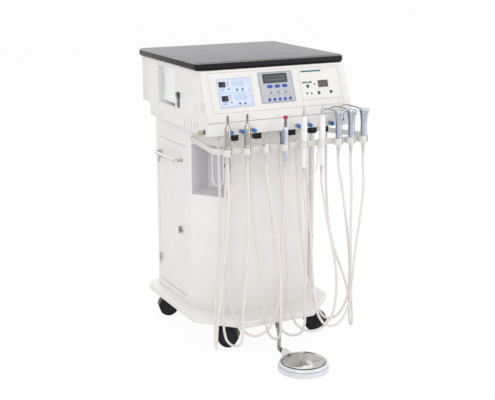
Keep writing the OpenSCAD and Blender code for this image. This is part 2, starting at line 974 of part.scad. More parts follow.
// Door opening in the left side
door_front = -73;
door_rear = door_front + door_l;
door_gap = 1.5;
hinge_x = -cab_w / 2 - 4.3;
hinge_y = door_rear + 3;
knuckle_r = 4;
hinge_pin_r = 2;
knuckle_l = 22;
hinge_zs = [door_z + 60, door_z + door_h - 110];
lock_y = -27;
lock_z = 416;
lock_r = 8;

module cabinet_shell() {
    color([0.91, 0.89, 0.85])
    difference() {
        union() {
            difference() {
                translate([0, 0, base_top])
                    linear_extrude(height = house_z - base_top)
                        polygon(cab_outline(0));
                translate([0, 0, base_top - 1])
                    linear_extrude(height = house_z - base_top + 2)
                        polygon(cab_outline(cab_wall));
            }
            intersection() {
                niche_space(cab_wall);
                translate([0, 0, base_top])
                    linear_extrude(height = house_z - base_top)
                        polygon(cab_outline(0));
            }
            // shelf across the cabinet
            difference() {
                translate([0, 0, shelf_z])
                    linear_extrude(height = shelf_t)
                        polygon(cab_outline(cab_wall - 0.5));
                translate([120, 60, shelf_z - 1])
                    cylinder(r = 40, h = shelf_t + 2);
                block([-cab_w / 2, -120, shelf_z - 1], [-cab_w / 2 + cab_wall + door_t + 4, 215, shelf_z + shelf_t + 1]);
            }
            // fixed hinge knuckles with their pins
            for (z = hinge_zs) {
                translate([hinge_x, hinge_y, z])
                    cylinder(r = knuckle_r, h = knuckle_l);
                block([hinge_x, hinge_y, z], [-cab_w / 2 + 1, hinge_y + knuckle_r, z + knuckle_l]);
                translate([hinge_x, hinge_y, z])
                    cylinder(r = hinge_pin_r, h = 2 * knuckle_l + gap);
            }
        }
        niche_space(0);
        block([-cab_w / 2 - 1, door_front, door_z], [-cab_w / 2 + cab_wall + 1, door_rear, door_z + door_h]);
    }
}

module door() {
    x0 = -cab_w / 2;
    fold = 2.5;
    color([0.92, 0.90, 0.86])
    difference() {
        union() {
            difference() {
                block([x0, door_front + door_gap, door_z + door_gap],
                    [x0 + door_t, door_rear - door_gap, door_z + door_h - door_gap]);
                // folded sheet: open tray on the inner side
                block([x0 + fold, door_front + door_gap + fold, door_z + door_gap + fold],
                    [x0 + door_t + 1, door_rear - door_gap - fold, door_z + door_h - door_gap - fold]);
            }
            for (z = hinge_zs)
                translate([0, 0, z + knuckle_l + gap]) {
                    translate([hinge_x, hinge_y, 0])
                        cylinder(r = knuckle_r, h = knuckle_l);
                    block([hinge_x - knuckle_r, door_rear - 12, 0], [hinge_x - knuckle_r + 2.2, hinge_y, knuckle_l]);
                    block([hinge_x - knuckle_r, door_rear - 16, 0], [x0 + 1, door_rear - 8, knuckle_l]);
                }
            // boss behind the lock
            translate([x0 + 1, lock_y, lock_z])
                rotate([0, 90, 0])
                    cylinder(r = lock_r + 5, h = door_t - 2);
        }
        for (z = hinge_zs)
            translate([hinge_x, hinge_y, z])
                cylinder(r = hinge_pin_r + running, h = 3 * knuckle_l);
        translate([x0 - 5, lock_y, lock_z])
            rotate([0, 90, 0])
                cylinder(r = lock_r + running, h = door_t + 10);
    }
}

// Bow handle across the door's upper part
handle_y = 62;
handle_z = 686;
handle_out = 30;
handle_bend = 12;

module door_handle() {
    half = handle_l / 2;
    x0 = -cab_w / 2;
    color([0.82, 0.82, 0.80])
    translate([x0, handle_y, handle_z]) {
        for (s = [-1, 1]) {
            translate([0, s * half, 0])
                rotate([0, -90, 0]) {
                    cylinder(r = handle_r + 3, h = 3);
                    cylinder(r = handle_r, h = handle_out - handle_bend);
                }
            translate([-handle_out + handle_bend, s * (half - handle_bend), 0])
                mirror([0, s > 0 ? 0 : 1, 0])
                    rotate([0, 0, 90])
                        rotate_extrude(angle = 90)
                            translate([handle_bend, 0])
                                circle(r = handle_r);
        }
        translate([-handle_out, 0, 0])
            rotate([90, 0, 0])
                cylinder(r = handle_r, h = handle_l - 2 * handle_bend, center = true);
    }
}

// Quarter-turn lock: escutcheon, turning bar, shaft and cam
module door_lock() {
    x0 = -cab_w / 2;
    color([0.20, 0.20, 0.21])
    translate([x0, lock_y, lock_z])
        rotate([0, -90, 0]) {
            translate([0, 0, gap])
                cylinder(r = 16, h = 3);
            translate([0, 0, 3])
                cylinder(r = 11, h = 5);
            block([-14, -4, 7], [14, 4, 15]);
            translate([0, 0, -door_t - 5])
                cylinder(r = lock_r, h = door_t + 6);
            // cam, hanging down at rest
            block([-56, -6, -door_t - 5], [8, 6, -door_t - 2]);
        }
}

// ---------- base ----------

stems = [[-186, -220], [196, -220], [-205, 171], [205, 171]];
castor_turn = [-40, -62, 165, -60];
stem_bolt_r = 5.5;
stem_len = 20;

module base_plate() {
    bevel = 4;
    color([0.90, 0.89, 0.85])
    difference() {
        hull() {
            translate([0, 0, base_z])
                linear_extrude(height = base_t - bevel)
                    polygon(base_outline(0));
            translate([0, 0, base_z])
                linear_extrude(height = base_t)
                    polygon(base_outline(bevel));
        }
        for (p = stems)
            translate([p[0], p[1], base_z - 1])
                cylinder(r = stem_bolt_r + running, h = stem_len + 1);
        // fixing holes for the cabinet, from below
        for (x = [-160, 160])
            for (y = [-180, 150])
                translate([x, y, base_z - 1])
                    cylinder(r = 3.3, h = base_t + 2);
    }
}

web_w = 10;
hood_r = wheel_r + 4;
hood_t = 2.5;
axle_r = 4;
fork_w = web_w + 2 * wheel_w + 4;

module at_castor(k) {
    translate([stems[k][0], stems[k][1], 0])
        rotate([0, 0, castor_turn[k]])
            children();
}

module castor_fork(k) {
    color([0.07, 0.07, 0.08])
    at_castor(k)
        difference() {
            union() {
                difference() {
                    union() {
                        translate([0, 0, base_z - 10])
                            cylinder(r = stem_bolt_r, h = stem_len + 8);
                        translate([0, 0, base_z - gap - 7])
                            cylinder(r = 15, h = 7);
                        translate([0, 0, wheel_r])
                            cylinder(r = 11, h = base_z - wheel_r - 2);
                        translate([castor_trail, 0, wheel_r])
                            rotate([90, 0, 0])
                                cylinder(r = hood_r, h = fork_w, center = true, $fn = 64);
                    }
                    // room for the wheel on each side of the web
                    for (s = [-1, 1])
                        translate([castor_trail, s * (web_w / 2 + fork_w / 2), wheel_r])
                            rotate([90, 0, 0])
                                cylinder(r = hood_r - hood_t, h = fork_w, center = true, $fn = 64);
                    block([-60, -fork_w, -10], [castor_trail + 60, fork_w, wheel_r + 4]);
                }
                translate([castor_trail, 0, wheel_r])
                    rotate([90, 0, 0])
                        cylinder(r = 11, h = web_w, center = true);
            }
            translate([castor_trail, 0, wheel_r])
                rotate([90, 0, 0])
                    cylinder(r = axle_r + running, h = 80, center = true);
        }
}

module castor_wheels(k) {
    color([0.10, 0.10, 0.11])
    at_castor(k)
        translate([castor_trail, 0, wheel_r])
            rotate([90, 0, 0]) {
                cylinder(r = axle_r, h = web_w + 2 * gap + 2 * wheel_w - 6, center = true);
                for (s = [0, 1])
                    mirror([0, 0, s])
                        translate([0, 0, web_w / 2 + gap])
                            rotate_extrude($fn = 64)
                                polygon([[0, 4], [10, 4], [12, 0], [wheel_r - 7, 0], [wheel_r - 2, 0], [wheel_r, 2],
                                         [wheel_r, wheel_w - 4], [wheel_r - 4, wheel_w], [wheel_r - 9, wheel_w],
                                         [wheel_r - 11, wheel_w - 3], [12, wheel_w - 3], [9, wheel_w - 1],
                                         [0, wheel_w - 1]]);
            }
}

module castor_fork_1() { castor_fork(0); }
module castor_fork_2() { castor_fork(1); }
module castor_fork_3() { castor_fork(2); }
module castor_fork_4() { castor_fork(3); }
module castor_wheels_1() { castor_wheels(0); }
module castor_wheels_2() { castor_wheels(1); }
module castor_wheels_3() { castor_wheels(2); }
module castor_wheels_4() { castor_wheels(3); }

// ---------- foot control ----------

foot_at = [-20, -552];
guide_r = 10;
foot_wall = 3;
boss_h = foot_h - press - 6;
plug_w = 20;
plug_h = 28;
plug_x = -4;
plug_end = 138;

module foot_base() {
    color([0.80, 0.82, 0.84])
    translate([foot_at[0], foot_at[1], 0])
        difference() {
            union() {
                rotate_extrude($fn = 96)
                    polygon([[0, 0], [foot_r - 1, 0], [foot_r, 1], [foot_r, 6], [foot_r - 1.5, 14], [disc_r + 7, foot_h - 2],
                             [disc_r + 4.5, foot_h], [disc_r + 1.5, foot_h], [disc_r + 1.5, foot_wall],
                             [guide_r + 6, foot_wall], [guide_r + 6, boss_h], [0, boss_h]]);
                // hose connector at the rear
                block([plug_x - plug_w / 2, foot_r - 7, 0], [plug_x + plug_w / 2, plug_end, plug_h]);
                translate([plug_x, plug_end, 15])
                    rotate([-90, 0, 0])
                        cylinder(r = 9.5, h = 14);
            }
            translate([0, 0, foot_wall])
                cylinder(r = guide_r + running, h = foot_h);
        }
}

// Domed disc on a guide post
module foot_disc() {
    shell = 2.5;
    dome_r = (disc_r * disc_r + dome_h * dome_h) / (2 * dome_h);
    rim_z = foot_h + 3;
    color([0.75, 0.76, 0.78])
    translate([foot_at[0], foot_at[1], 0]) {
        rotate_extrude($fn = 96) {
            intersection() {
                translate([0, rim_z])
                    square([disc_r, dome_h + 1]);
                difference() {
                    translate([0, rim_z + dome_h - dome_r])
                        circle(r = dome_r, $fn = 360);
                    translate([0, rim_z + dome_h - dome_r])
                        circle(r = dome_r - shell, $fn = 360);
                }
            }
            translate([disc_r - shell - 1, rim_z - 1])
                square([shell + 1, 2]);
        }
        translate([0, 0, foot_wall + press + gap])
            cylinder(r = guide_r, h = rim_z + dome_h - shell / 2 - foot_wall - press - gap);
    }
}

// ---------- inner pieces ----------

module electronics_tray() {
    z0 = house_z + sheet;
    color([0.45, 0.52, 0.45]) {
        difference() {
            block([-150, -150, z0], [230, 150, z0 + 14]);
            block([-148, -148, z0 + 2], [228, 148, z0 + 20]);
        }
        // circuit board on posts
        for (x = [-130, 20])
            for (y = [-120, 60])
                translate([x, y, z0])
                    cylinder(r = 3, h = 14);
        block([-140, -130, z0 + 14], [30, 70, z0 + 16]);
        // transformer and row of solenoid valves
        block([70, -60, z0 + 1], [150, 20, z0 + 62]);
        for (k = [0 : 5])
            block([-130 + k * 26, 84, z0 + 1], [-112 + k * 26, 124, z0 + 48]);
        block([-134, 78, z0 + 1], [24, 130, z0 + 12]);
    }
}

module compressor() {
    z0 = base_top;
    color([0.35, 0.37, 0.40])
    translate([125, 30, z0]) {
        // reservoir lying front to back, on two feet
        translate([0, 120, 88])
            rotate([90, 0, 0])
                cylinder(r = 62, h = 240);
        for (y = [-80, 60])
            block([-40, y, 0], [40, y + 24, 40]);
        // pump motor and finned head
        translate([-60, 0, 182])
            rotate([0, 90, 0])
                cylinder(r = 42, h = 84);
        block([-44, -30, 140], [12, 30, 170]);
        for (k = [0 : 4])
            block([30, -34, 158 + k * 12], [84, 34, 164 + k * 12]);
        block([24, -24, 150], [70, 24, 208]);
    }
}

// Supply conduit down the right side, with a flared boot on the base plate
conduit_x = 272;
conduit_out = 92;
conduit_r = 12;

module supply_conduit() {
    boot = 90;
    color([0.72, 0.72, 0.70])
    translate([conduit_x, -conduit_out, 0])
        rotate_extrude()
            polygon([[conduit_r - 3, base_top], [conduit_r + 4, base_top], [conduit_r + 4, base_top + 6],
                     [conduit_r, base_top + boot], [conduit_r, house_z], [conduit_r - 3, house_z]]);
}

// ---------- hoses ----------

// Smooth curve through hand-placed points, each stretch cut into equal steps
function slope(p, i) = let (
    last = len(p) - 1,
    j = min(max(i, 1), last - 1),
    back = (p[j] - p[j - 1]) / norm(p[j] - p[j - 1]),
    ahead = (p[j + 1] - p[j]) / norm(p[j + 1] - p[j]),
    d0 = norm(p[j] - p[j - 1]),
    d1 = norm(p[j + 1] - p[j]))
    i == 0 ? back : i == last ? ahead : (back * d1 + ahead * d0) / (d0 + d1);
function between(a, b, ta, tb, t) =
    (2 * t * t * t - 3 * t * t + 1) * a + (t * t * t - 2 * t * t + t) * ta
    + (3 * t * t - 2 * t * t * t) * b + (t * t * t - t * t) * tb;
function route(p, n) = concat([for (i = [0 : len(p) - 2]) for (j = [0 : n - 1])
    let (d = norm(p[i + 1] - p[i])) between(p[i], p[i + 1], slope(p, i) * d, slope(p, i + 1) * d, j / n)],
    [p[len(p) - 1]]);
function unit(v) = v / norm(v);
function heading(p, i) = unit(p[min(i + 1, len(p) - 1)] - p[max(i - 1, 0)]);
// side direction carried along the route without twist
function carried(v, t) = unit(v - (v * t) * t);
function sides_of(p, i, v) = i >= len(p) ? [] :
    let (s = carried(v, heading(p, i))) concat([s], sides_of(p, i + 1, s));

module tube(points, steps, d, sides) {
    p = route(points, steps);
    s = sides_of(p, 0, [1, 0.01, 0]);
    n = len(p);
    rings = [for (i = [0 : n - 1]) let (t = heading(p, i), u = s[i], w = cross(t, u))
        for (k = [0 : sides - 1])
            p[i] + d / 2 * (cos(360 * k / sides) * u + sin(360 * k / sides) * w)];
    polyhedron(points = rings, faces = concat(
        [[for (k = [0 : sides - 1]) k]],
        [for (i = [0 : n - 2]) for (k = [0 : sides - 1]) let (a = i * sides + k, b = i * sides + (k + 1) % sides)
            each [[a, a + sides, b + sides], [a, b + sides, b]]],
        [[for (k = [sides - 1 : -1 : 0]) (n - 1) * sides + k]]));
}

gland_z = house_z - gland_drop - gap;
spare_z = 752;
hose_sides = 8;
hose_steps = 4;

hose_1_route = [[-244, -404, motor_low - gap], [-244, -404, 730], [-242, -404, 630], [-256, -404, 430],
    [-276, -404, 250], [-289, -405, 155], [-293, -409, 104], [-288, -397, 73], [-277, -368, 60],
    [-266, -339, 73], [-261, -327, 104], [-260, -325, 155], [-252, -320, 260], [-236, -312, 420],
    [-228, -305, 560], [-230, -300, 765], [-230, -300, gland_z]];
hose_2_route = [[-169, -404, motor_low - gap], [-169, -404, 730], [-165, -405, 600], [-170, -408, 420],
    [-184, -411, 250], [-193, -413, 155], [-196, -418, 102], [-201, -406, 71], [-212, -378, 59],
    [-224, -350, 71], [-229, -338, 102], [-231, -336, 155], [-236, -338, 250], [-237, -340, 380],
    [-224, -330, 540], [-206, -312, 680], [-198, -300, 765], [-198, -300, gland_z]];
hose_3_route = [[-94, -404, spare_z - gap], [-94, -404, 712], [-78, -408, 600], [-56, -414, 480],
    [-46, -421, 350], [-44, -427, 220], [-45, -429, 160], [-47, -434, 107], [-49, -422, 77],
    [-54, -392, 64], [-60, -362, 77], [-62, -350, 107], [-68, -348, 160], [-86, -348, 270],
    [-100, -344, 400], [-107, -328, 550], [-104, -300, 765], [-104, -300, gland_z]];
hose_4_route = [[-19, -404, endo_low - gap], [-19, -404, 684], [-20, -402, 560], [-28, -396, 400], [-32, -390, 240],
    [-42, -386, 155], [-70, -378, 98], [-116, -366, 75], [-160, -355, 100], [-194, -342, 165],
    [-214, -328, 270], [-211, -320, 430], [-186, -308, 620], [-166, -300, 765], [-166, -300, gland_z]];
hose_5_route = [[56, -404, scaler_low - gap], [56, -404, 660], [68, -406, 530], [68, -410, 340],
    [64, -412, 220], [63, -413, 160], [62, -416, 106], [52, -407, 73], [27, -386, 60], [2, -365, 73],
    [-8, -356, 106], [-11, -354, 160], [-18, -352, 260], [-28, -344, 400], [-36, -324, 590],
    [-40, -300, 765], [-40, -300, gland_z]];
hose_6_route = [[131, -404, scaler_low - gap], [131, -404, 660], [146, -404, 560], [178, -406, 410], [200, -408, 290],
    [200, -408, 180], [180, -407, 108], [142, -402, 74], [98, -390, 66], [56, -374, 92], [32, -362, 160],
    [26, -350, 300], [20, -330, 520], [13, -303, 720], [12, -300, 765], [12, -300, gland_z]];
syringe_1_route = [[201, -404, syringe_low - gap], [201, -404, 712], [222, -400, 610], [244, -396, 490],
    [262, -394, 370], [268, -394, 260], [261, -394, 180], [238, -390, 126], [218, -386, 104],
    [195, -381, 98], [172, -375, 105], [153, -369, 130], [130, -359, 180], [106, -346, 280],
    [92, -332, 430], [86, -314, 600], [84, -300, 765], [84, -300, gland_z]];
syringe_2_route = [[254, -404, syringe_low - gap], [254, -404, 712], [259, -408, 600], [257, -412, 450],
    [260, -414, 280], [266, -415, 160], [270, -417, 102], [276, -405, 70], [289, -376, 57], [302, -348, 70],
    [308, -336, 102], [306, -330, 160], [288, -326, 230], [254, -322, 320], [226, -316, 420],
    [213, -307, 570], [212, -300, 765], [212, -300, gland_z]];
syringe_3_route = [[307, -404, syringe_low - gap], [307, -404, 712], [310, -410, 600], [290, -420, 480],
    [266, -430, 350], [252, -434, 230], [240, -434, 155], [214, -432, 106], [193, -429, 89],
    [170, -424, 85], [148, -418, 94], [131, -411, 118], [117, -398, 180], [114, -384, 270],
    [116, -362, 400], [118, -332, 570], [118, -300, 765], [118, -300, gland_z]];
foot_hose_route = [[-24, -399.5, 15], [-24, -388, 15], [-18, -368, 15], [-6, -347, 21], [6, -326, 37],
    [12, -306, 60], [12, -298, 76], [12, -298, 86.5]];

// Thin signal tubes: two ends under the holders or the rail, and the height of the lowest point
signal_d = 4;
signal_sides = 6;
signal_steps = 3;
corner_x = 10.5;
corner_y = -391.5;
under_holder = holder_low - gap;
function holder_end(k, side) = [tool_x(k) + side * corner_x, corner_y, under_holder];
signal_ends = [
    [[rail_left, rail_y + rail_bend, holder_z - rail_h / 2 - gap], holder_end(0, -1), 662],
    [holder_end(0, 1), holder_end(1, -1), 650],
    [holder_end(2, -1), holder_end(3, -1), 657],
    [holder_end(3, 1), holder_end(5, -1), 644]];
// Half an ellipse between two ends, drawn back a little at its lowest point
function sagging(p, q, low) = [for (t = [0, 20, 45, 70, 90, 110, 135, 160, 180])
    let (e = p * (1 + cos(t)) / 2 + q * (1 - cos(t)) / 2)
    [e[0], e[1] + 7 * sin(t), e[2] + (low - e[2]) * sin(t)]];

module hose(points) {
    color([0.90, 0.88, 0.82])
        tube(points, hose_steps, hose_d, hose_sides);
}
module hose_1() { hose(hose_1_route); }
module hose_2() { hose(hose_2_route); }
module hose_3() { hose(hose_3_route); }
module hose_4() { hose(hose_4_route); }
module hose_5() { hose(hose_5_route); }
module hose_6() { hose(hose_6_route); }
module syringe_hoses() {
    hose(syringe_1_route);
    hose(syringe_2_route);
    hose(syringe_3_route);
    // thin signal tubes that sag between the holders and the rail
    color([0.88, 0.86, 0.80])
        for (e = signal_ends)
            tube(sagging(e[0], e[1], e[2]), signal_steps, signal_d, signal_sides);
}
module foot_hose() {
    color([0.62, 0.60, 0.55])
        tube(foot_hose_route, hose_steps, foot_hose_d, 10);
}

table_top();
housing_shell();
pocket_liner();
rocker_switch();
control_bezel();
left_keypad();
centre_module();
right_module();
display_windows();
soft_keys();
valve_strip();
needle_valves();
flow_knob_1();
flow_knob_2();
flow_knob_3();
flow_knob_4();
flow_knob_5();
flow_knob_6();
air_fittings();
holder_switches();
hose_fittings();
holder_rail();
tool_holders();
motor_handpiece_1();
motor_handpiece_2();
endo_handpiece();
scaler_handpiece_1();
scaler_handpiece_2();
air_syringe_1();
air_syringe_2();
air_syringe_3();
syringe_button_1();
syringe_button_2();
syringe_button_3();
cabinet_shell();
door();
door_handle();
door_lock();
base_plate();
castor_fork_1();
castor_fork_2();
castor_fork_3();
castor_fork_4();
castor_wheels_1();
castor_wheels_2();
castor_wheels_3();
castor_wheels_4();
foot_base();
foot_disc();
electronics_tray();
compressor();
supply_conduit();
hose_1();
hose_2();
hose_3();
hose_4();
hose_5();
hose_6();
syringe_hoses();
foot_hose();
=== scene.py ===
"""Looks of a portable dental treatment cart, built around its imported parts.

Every place is in the cart's own frame: X to the right, Y to the rear, Z up from the floor.
The modelling helpers take millimetres; the mesh that they leave is in metres.
"""

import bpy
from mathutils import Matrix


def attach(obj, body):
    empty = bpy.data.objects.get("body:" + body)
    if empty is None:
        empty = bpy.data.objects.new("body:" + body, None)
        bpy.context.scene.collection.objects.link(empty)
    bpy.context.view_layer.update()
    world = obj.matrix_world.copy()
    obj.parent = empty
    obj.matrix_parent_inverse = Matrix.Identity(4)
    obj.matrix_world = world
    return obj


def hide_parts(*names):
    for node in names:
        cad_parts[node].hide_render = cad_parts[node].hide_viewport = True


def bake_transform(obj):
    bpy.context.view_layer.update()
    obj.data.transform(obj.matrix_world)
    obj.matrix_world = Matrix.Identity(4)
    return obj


bl_info = {
    "name": "Dental treatment cart",
    "version": (1, 0, 0),
    "blender": (4, 5, 0),
    "location": "3D View > Sidebar > Cart",
    "description": "Dresses the packed parts of a dental treatment cart, one operator for each group",
    "category": "Add Mesh",
}

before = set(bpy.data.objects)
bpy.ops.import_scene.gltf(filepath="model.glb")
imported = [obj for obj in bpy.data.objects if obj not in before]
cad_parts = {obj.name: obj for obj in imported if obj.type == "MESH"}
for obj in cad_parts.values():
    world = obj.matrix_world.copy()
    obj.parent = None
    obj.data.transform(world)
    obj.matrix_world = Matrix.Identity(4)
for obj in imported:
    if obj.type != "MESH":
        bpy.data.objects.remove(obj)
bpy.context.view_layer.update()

import math

import bpy
from bpy.props import FloatProperty, FloatVectorProperty, IntProperty, PointerProperty
from mathutils import Matrix, Vector

MM = 0.001
BODY = "cart"
# Pitch of the knurls in metres, and the angle in degrees from which an edge counts as sharp
KNURL_PITCH = 0.0013
SHARP_EDGE = 35


# ---------- sizes and colours ----------

def colour(name, description, default):
    return FloatVectorProperty(
        name=name, description=description, subtype="COLOR", size=3,
        min=0, max=1, default=default)


def length(name, description, default):
    return FloatProperty(
        name=name, description=description, unit="LENGTH", subtype="DISTANCE",
        min=0, default=default)


class CartSizes(bpy.types.PropertyGroup):
    slab_edge: length("Slab edge", "Radius of the worktop's rounded edge", 0.009)
    sheet_edge: length("Sheet edge", "Radius of the folded sheet-metal edges", 0.0012)
    hose_sides: IntProperty(
        name="Hose sides", description="Number of sides round a hose",
        min=8, max=24, default=14)
    hose_steps: IntProperty(
        name="Hose steps", description="Rings between two points of a hose's route",
        min=2, max=10, default=6)
    turned_sides: IntProperty(
        name="Turned sides", description="Number of sides round a turned piece",
        min=16, max=96, default=48)


class CartColours(bpy.types.PropertyGroup):
    ivory: colour("Ivory paint", "Powder coat of the housing and the cabinet", (0.84, 0.825, 0.81))
    white: colour("White plastic", "Pocket insert, strip and holders", (0.82, 0.805, 0.78))
    slab: colour("Worktop", "Dark satin laminate", (0.115, 0.116, 0.126))
    blue: colour("Blue", "Flow knobs", (0.012, 0.20, 0.62))
    teal: colour("Teal", "Stripe and keys of the right module", (0.006, 0.20, 0.19))
    hose: colour("Hoses", "Tool hoses", (0.78, 0.75, 0.71))
    tan: colour("Foot hose", "Hose of the foot control", (0.56, 0.53, 0.47))
    floor: colour("Floor", "Plain pale floor", (0.93, 0.93, 0.93))


def sizes():
    return bpy.context.scene.cart_sizes


def colours():
    return bpy.context.scene.cart_colours


# ---------- shader maths ----------

class Wire:
    """A socket's value. Arithmetic on it adds Math nodes to its finish."""

    def __init__(self, finish, socket):
        self.finish = finish
        self.socket = socket

    def math(self, operation, *values):
        """A Math node on this value and others."""
        return self.finish.node("ShaderNodeMath", {"operation": operation}, values)

    def __add__(self, other):
        return self.math("ADD", self, other)

    def __sub__(self, other):
        return self.math("SUBTRACT", self, other)

    def __rsub__(self, other):
        return self.math("SUBTRACT", other, self)

    def __mul__(self, other):
        return self.math("MULTIPLY", self, other)

    def __gt__(self, other):
        return self.math("GREATER_THAN", self, other)

    def __lt__(self, other):
        return self.math("LESS_THAN", self, other)

    def __abs__(self):
        return self.math("ABSOLUTE", self)

    __radd__ = __add__

    def part(self):
        return self.math("FRACT", self)

    def clamped(self):
        return self.finish.node("ShaderNodeClamp", {}, [self, 0.0, 1.0])

    def between(self, low, high):
        """0 at low, 1 at high, and straight in between."""
        return ((self - low) * (1 / (high - low))).clamped()


class Finish:
    """One material. Fixed numbers go on the shader's own sockets, wires where a surface varies."""

    def __init__(self, name, **fixed):
        self.material = bpy.data.materials.new(name)
        self.material.use_nodes = True
        self.tree = self.material.node_tree
        self.shader = next(n for n in self.tree.nodes if n.type == "BSDF_PRINCIPLED")
        for key, value in fixed.items():
            self.set(key.replace("_", " ").title().replace("Ior", "IOR"), value)

    def node(self, kind, settings=(), values=(), out=0):
        """Any node: its type, its settings, and the values or wires of its sockets."""
        made = self.tree.nodes.new(kind)
        for key, value in dict(settings).items():
            setattr(made, key, value)
        pairs = values.items() if isinstance(values, dict) else enumerate(values)
        for key, value in pairs:
            self.plug(made.inputs[key], value)
        return Wire(self, made.outputs[out])

    def plug(self, socket, value):
        """A wire, a colour or a number into a socket."""
        if isinstance(value, Wire):
            self.tree.links.new(value.socket, socket)
        elif socket.type == "RGBA":
            socket.default_value = (*value, 1)[:4]
        else:
            socket.default_value = value

    def set(self, socket, value):
        self.plug(self.shader.inputs[socket], value)

    def place(self, stretch=(1, 1, 1)):
        """Object coordinates, stretched along each axis."""
        here = self.node("ShaderNodeTexCoord", out="Object")
        return self.node("ShaderNodeMapping", {"vector_type": "POINT"},
                         {"Vector": here, "Scale": stretch})

    def axes(self):
        """Object coordinates as three wires, in metres."""
        here = self.node("ShaderNodeTexCoord", out="Object")
        split = self.node("ShaderNodeSeparateXYZ", {}, [here])
        return [Wire(self, socket) for socket in split.socket.node.outputs]

    def noise(self, size, detail=3, rough=0.5, stretch=(1, 1, 1)):
        """Cloudy noise from 0 to 1, whose clouds are size metres across."""
        return self.node("ShaderNodeTexNoise", {"noise_dimensions": "3D"}, {
            "Vector": self.place(stretch), "Scale": 1 / size, "Detail": detail, "Roughness": rough})

    def cells(self, size):
        """Distance to the middle of the nearest of many small cells."""
        return self.node("ShaderNodeTexVoronoi", {"feature": "F1"},
                         {"Vector": self.place(), "Scale": 1 / size})

    def mix(self, factor, first, second):
        """A colour between two others."""
        return self.node("ShaderNodeMix", {"data_type": "RGBA"},
                         {0: factor, 6: first, 7: second}, 2)

    def relief(self, height, strength, distance):
        """Bump that feeds the shader's normal."""
        bump = self.node("ShaderNodeBump", {}, {
            "Strength": strength, "Distance": distance, "Height": height})
        self.set("Normal", bump)


def shaded(tone, share):
    """A darker or lighter form of a colour."""
    return tuple(max(0.0, min(1.0, c * share)) for c in tone)


def powder_coat(name, tone, rough=0.40, soil=0.04):
    """Baked paint on sheet steel: orange peel, faint clouding, and dust that gathers low down."""
    f = Finish(name, coat_weight=0.25, coat_roughness=0.25, specular_ior_level=0.5)
    cloud = f.noise(0.11, 4, 0.6)
    peel = f.noise(0.0028, 2, 0.4)
    rub = f.noise(0.035, 5, 0.7, (1, 1, 0.25))
    height = f.axes()[2]
    dust = (1 - height.between(0.10, 0.42)) * rub.between(0.42, 0.72)
    tint = f.mix(cloud.between(0.35, 0.70), tone, shaded(tone, 0.955))
    f.set("Base Color", f.mix(dust * soil * 4, tint, shaded(tone, 0.80)))
    f.set("Roughness", rough - 0.06 + rub * 0.12 + dust * 0.2)
    f.relief(peel * 0.7 + cloud * 0.3, 0.10, 0.0004)
    return f.material


def moulding(name, tone, rough=0.36, grain=0.0016, lift=0.08, coat=0.1):
    """Moulded plastic with a fine leather grain and soft wear."""
    f = Finish(name, coat_weight=coat, coat_roughness=0.2)
    cell = f.cells(grain)
    wear = f.noise(0.02, 4, 0.6)
    f.set("Base Color", f.mix(wear.between(0.4, 0.75), tone, shaded(tone, 0.93)))
    f.set("Roughness", rough - 0.05 + wear * 0.12)
    f.relief(cell, lift, 0.0002)
    return f.material


def gloss_laminate(name, tone):
    """Dark laminate: fine mineral speckle in a satin face with hairline scratches."""
    f = Finish(name, specular_ior_level=0.3)
    speck = f.cells(0.0022)
    cloud = f.noise(0.09, 4, 0.6)
    hair = f.noise(0.004, 2, 0.5, (0.05, 1, 1)).between(0.63, 0.72)
    light = speck.between(0.62, 0.80) * 0.5
    f.set("Base Color", f.mix(light + cloud * 0.2, tone, tuple(c + 0.03 for c in tone)))
    f.set("Roughness", 0.26 + cloud * 0.08 + hair * 0.12)
    f.relief(hair * 0.4 + cloud * 0.2, 0.02, 0.0002)
    return f.material


def brushed(name, tone, rough=0.28, stretch=(1, 1, 18), pitch=0.0, coat=0.0):
    """Turned or brushed metal: fine streaks, and rings where a pitch is given."""
    f = Finish(name, metallic=1.0, coat_weight=coat)
    streak = f.noise(0.0016, 3, 0.6, stretch)
    smear = f.noise(0.012, 4, 0.6)
    f.set("Base Color", f.mix(streak.between(0.3, 0.8), tone, shaded(tone, 0.80)))
    f.set("Roughness", rough - 0.07 + streak * 0.10 + smear * 0.10)
    if pitch:
        ring = abs((f.axes()[2] * (1 / pitch)).part() - 0.5)
        f.relief(ring, 0.6, 0.0004)
    else:
        f.relief(streak, 0.06, 0.0002)
    return f.material


def knurled(name, tone):
    """Metal cut with a diamond knurl, its grooves darkened with painted shade."""
    f = Finish(name, metallic=1.0)
    x, y, z = f.axes()
    a = abs(((x + y + z) * (1 / KNURL_PITCH)).part() - 0.5)
    b = abs(((x + y - z) * (1 / KNURL_PITCH)).part() - 0.5)
    worn = f.noise(0.006, 3)
    # The low parts of the knurl are darker in the colour: painted shade in the grooves
    f.set("Base Color", f.mix((a + b).clamped(), shaded(tone, 0.62), tone))
    f.set("Roughness", 0.34 + worn * 0.12)
    f.relief(a + b, 0.7, 0.0004)
    return f.material


def rubber(name, tone, rough, scuff, shine):
    """Black rubber or matt plastic with pale scuffs."""
    f = Finish(name, specular_ior_level=shine)
    scrape = f.noise(0.010, 5, 0.7, (1, 1, 0.3)).between(0.58, 0.80)
    grain = f.cells(0.0012)
    f.set("Base Color", f.mix(scrape * scuff, tone, tuple(c + 0.09 for c in tone)))
    f.set("Roughness", rough - 0.08 + scrape * 0.2 + grain * 0.08)
    f.relief(grain, 0.12, 0.0003)
    return f.material


def membrane(name, tone):
    """Printed keypad film: satin face, faint screen-print texture and a soft tint."""
    f = Finish(name, coat_weight=0.35, coat_roughness=0.3)
    weave = f.cells(0.0011)
    cloud = f.noise(0.03, 3)
    f.set("Base Color", f.mix(cloud.between(0.35, 0.75), tone, shaded(tone, 0.95)))
    f.set("Roughness", 0.36 + weave * 0.10 + cloud * 0.06)
    f.relief(weave, 0.06, 0.0002)
    return f.material


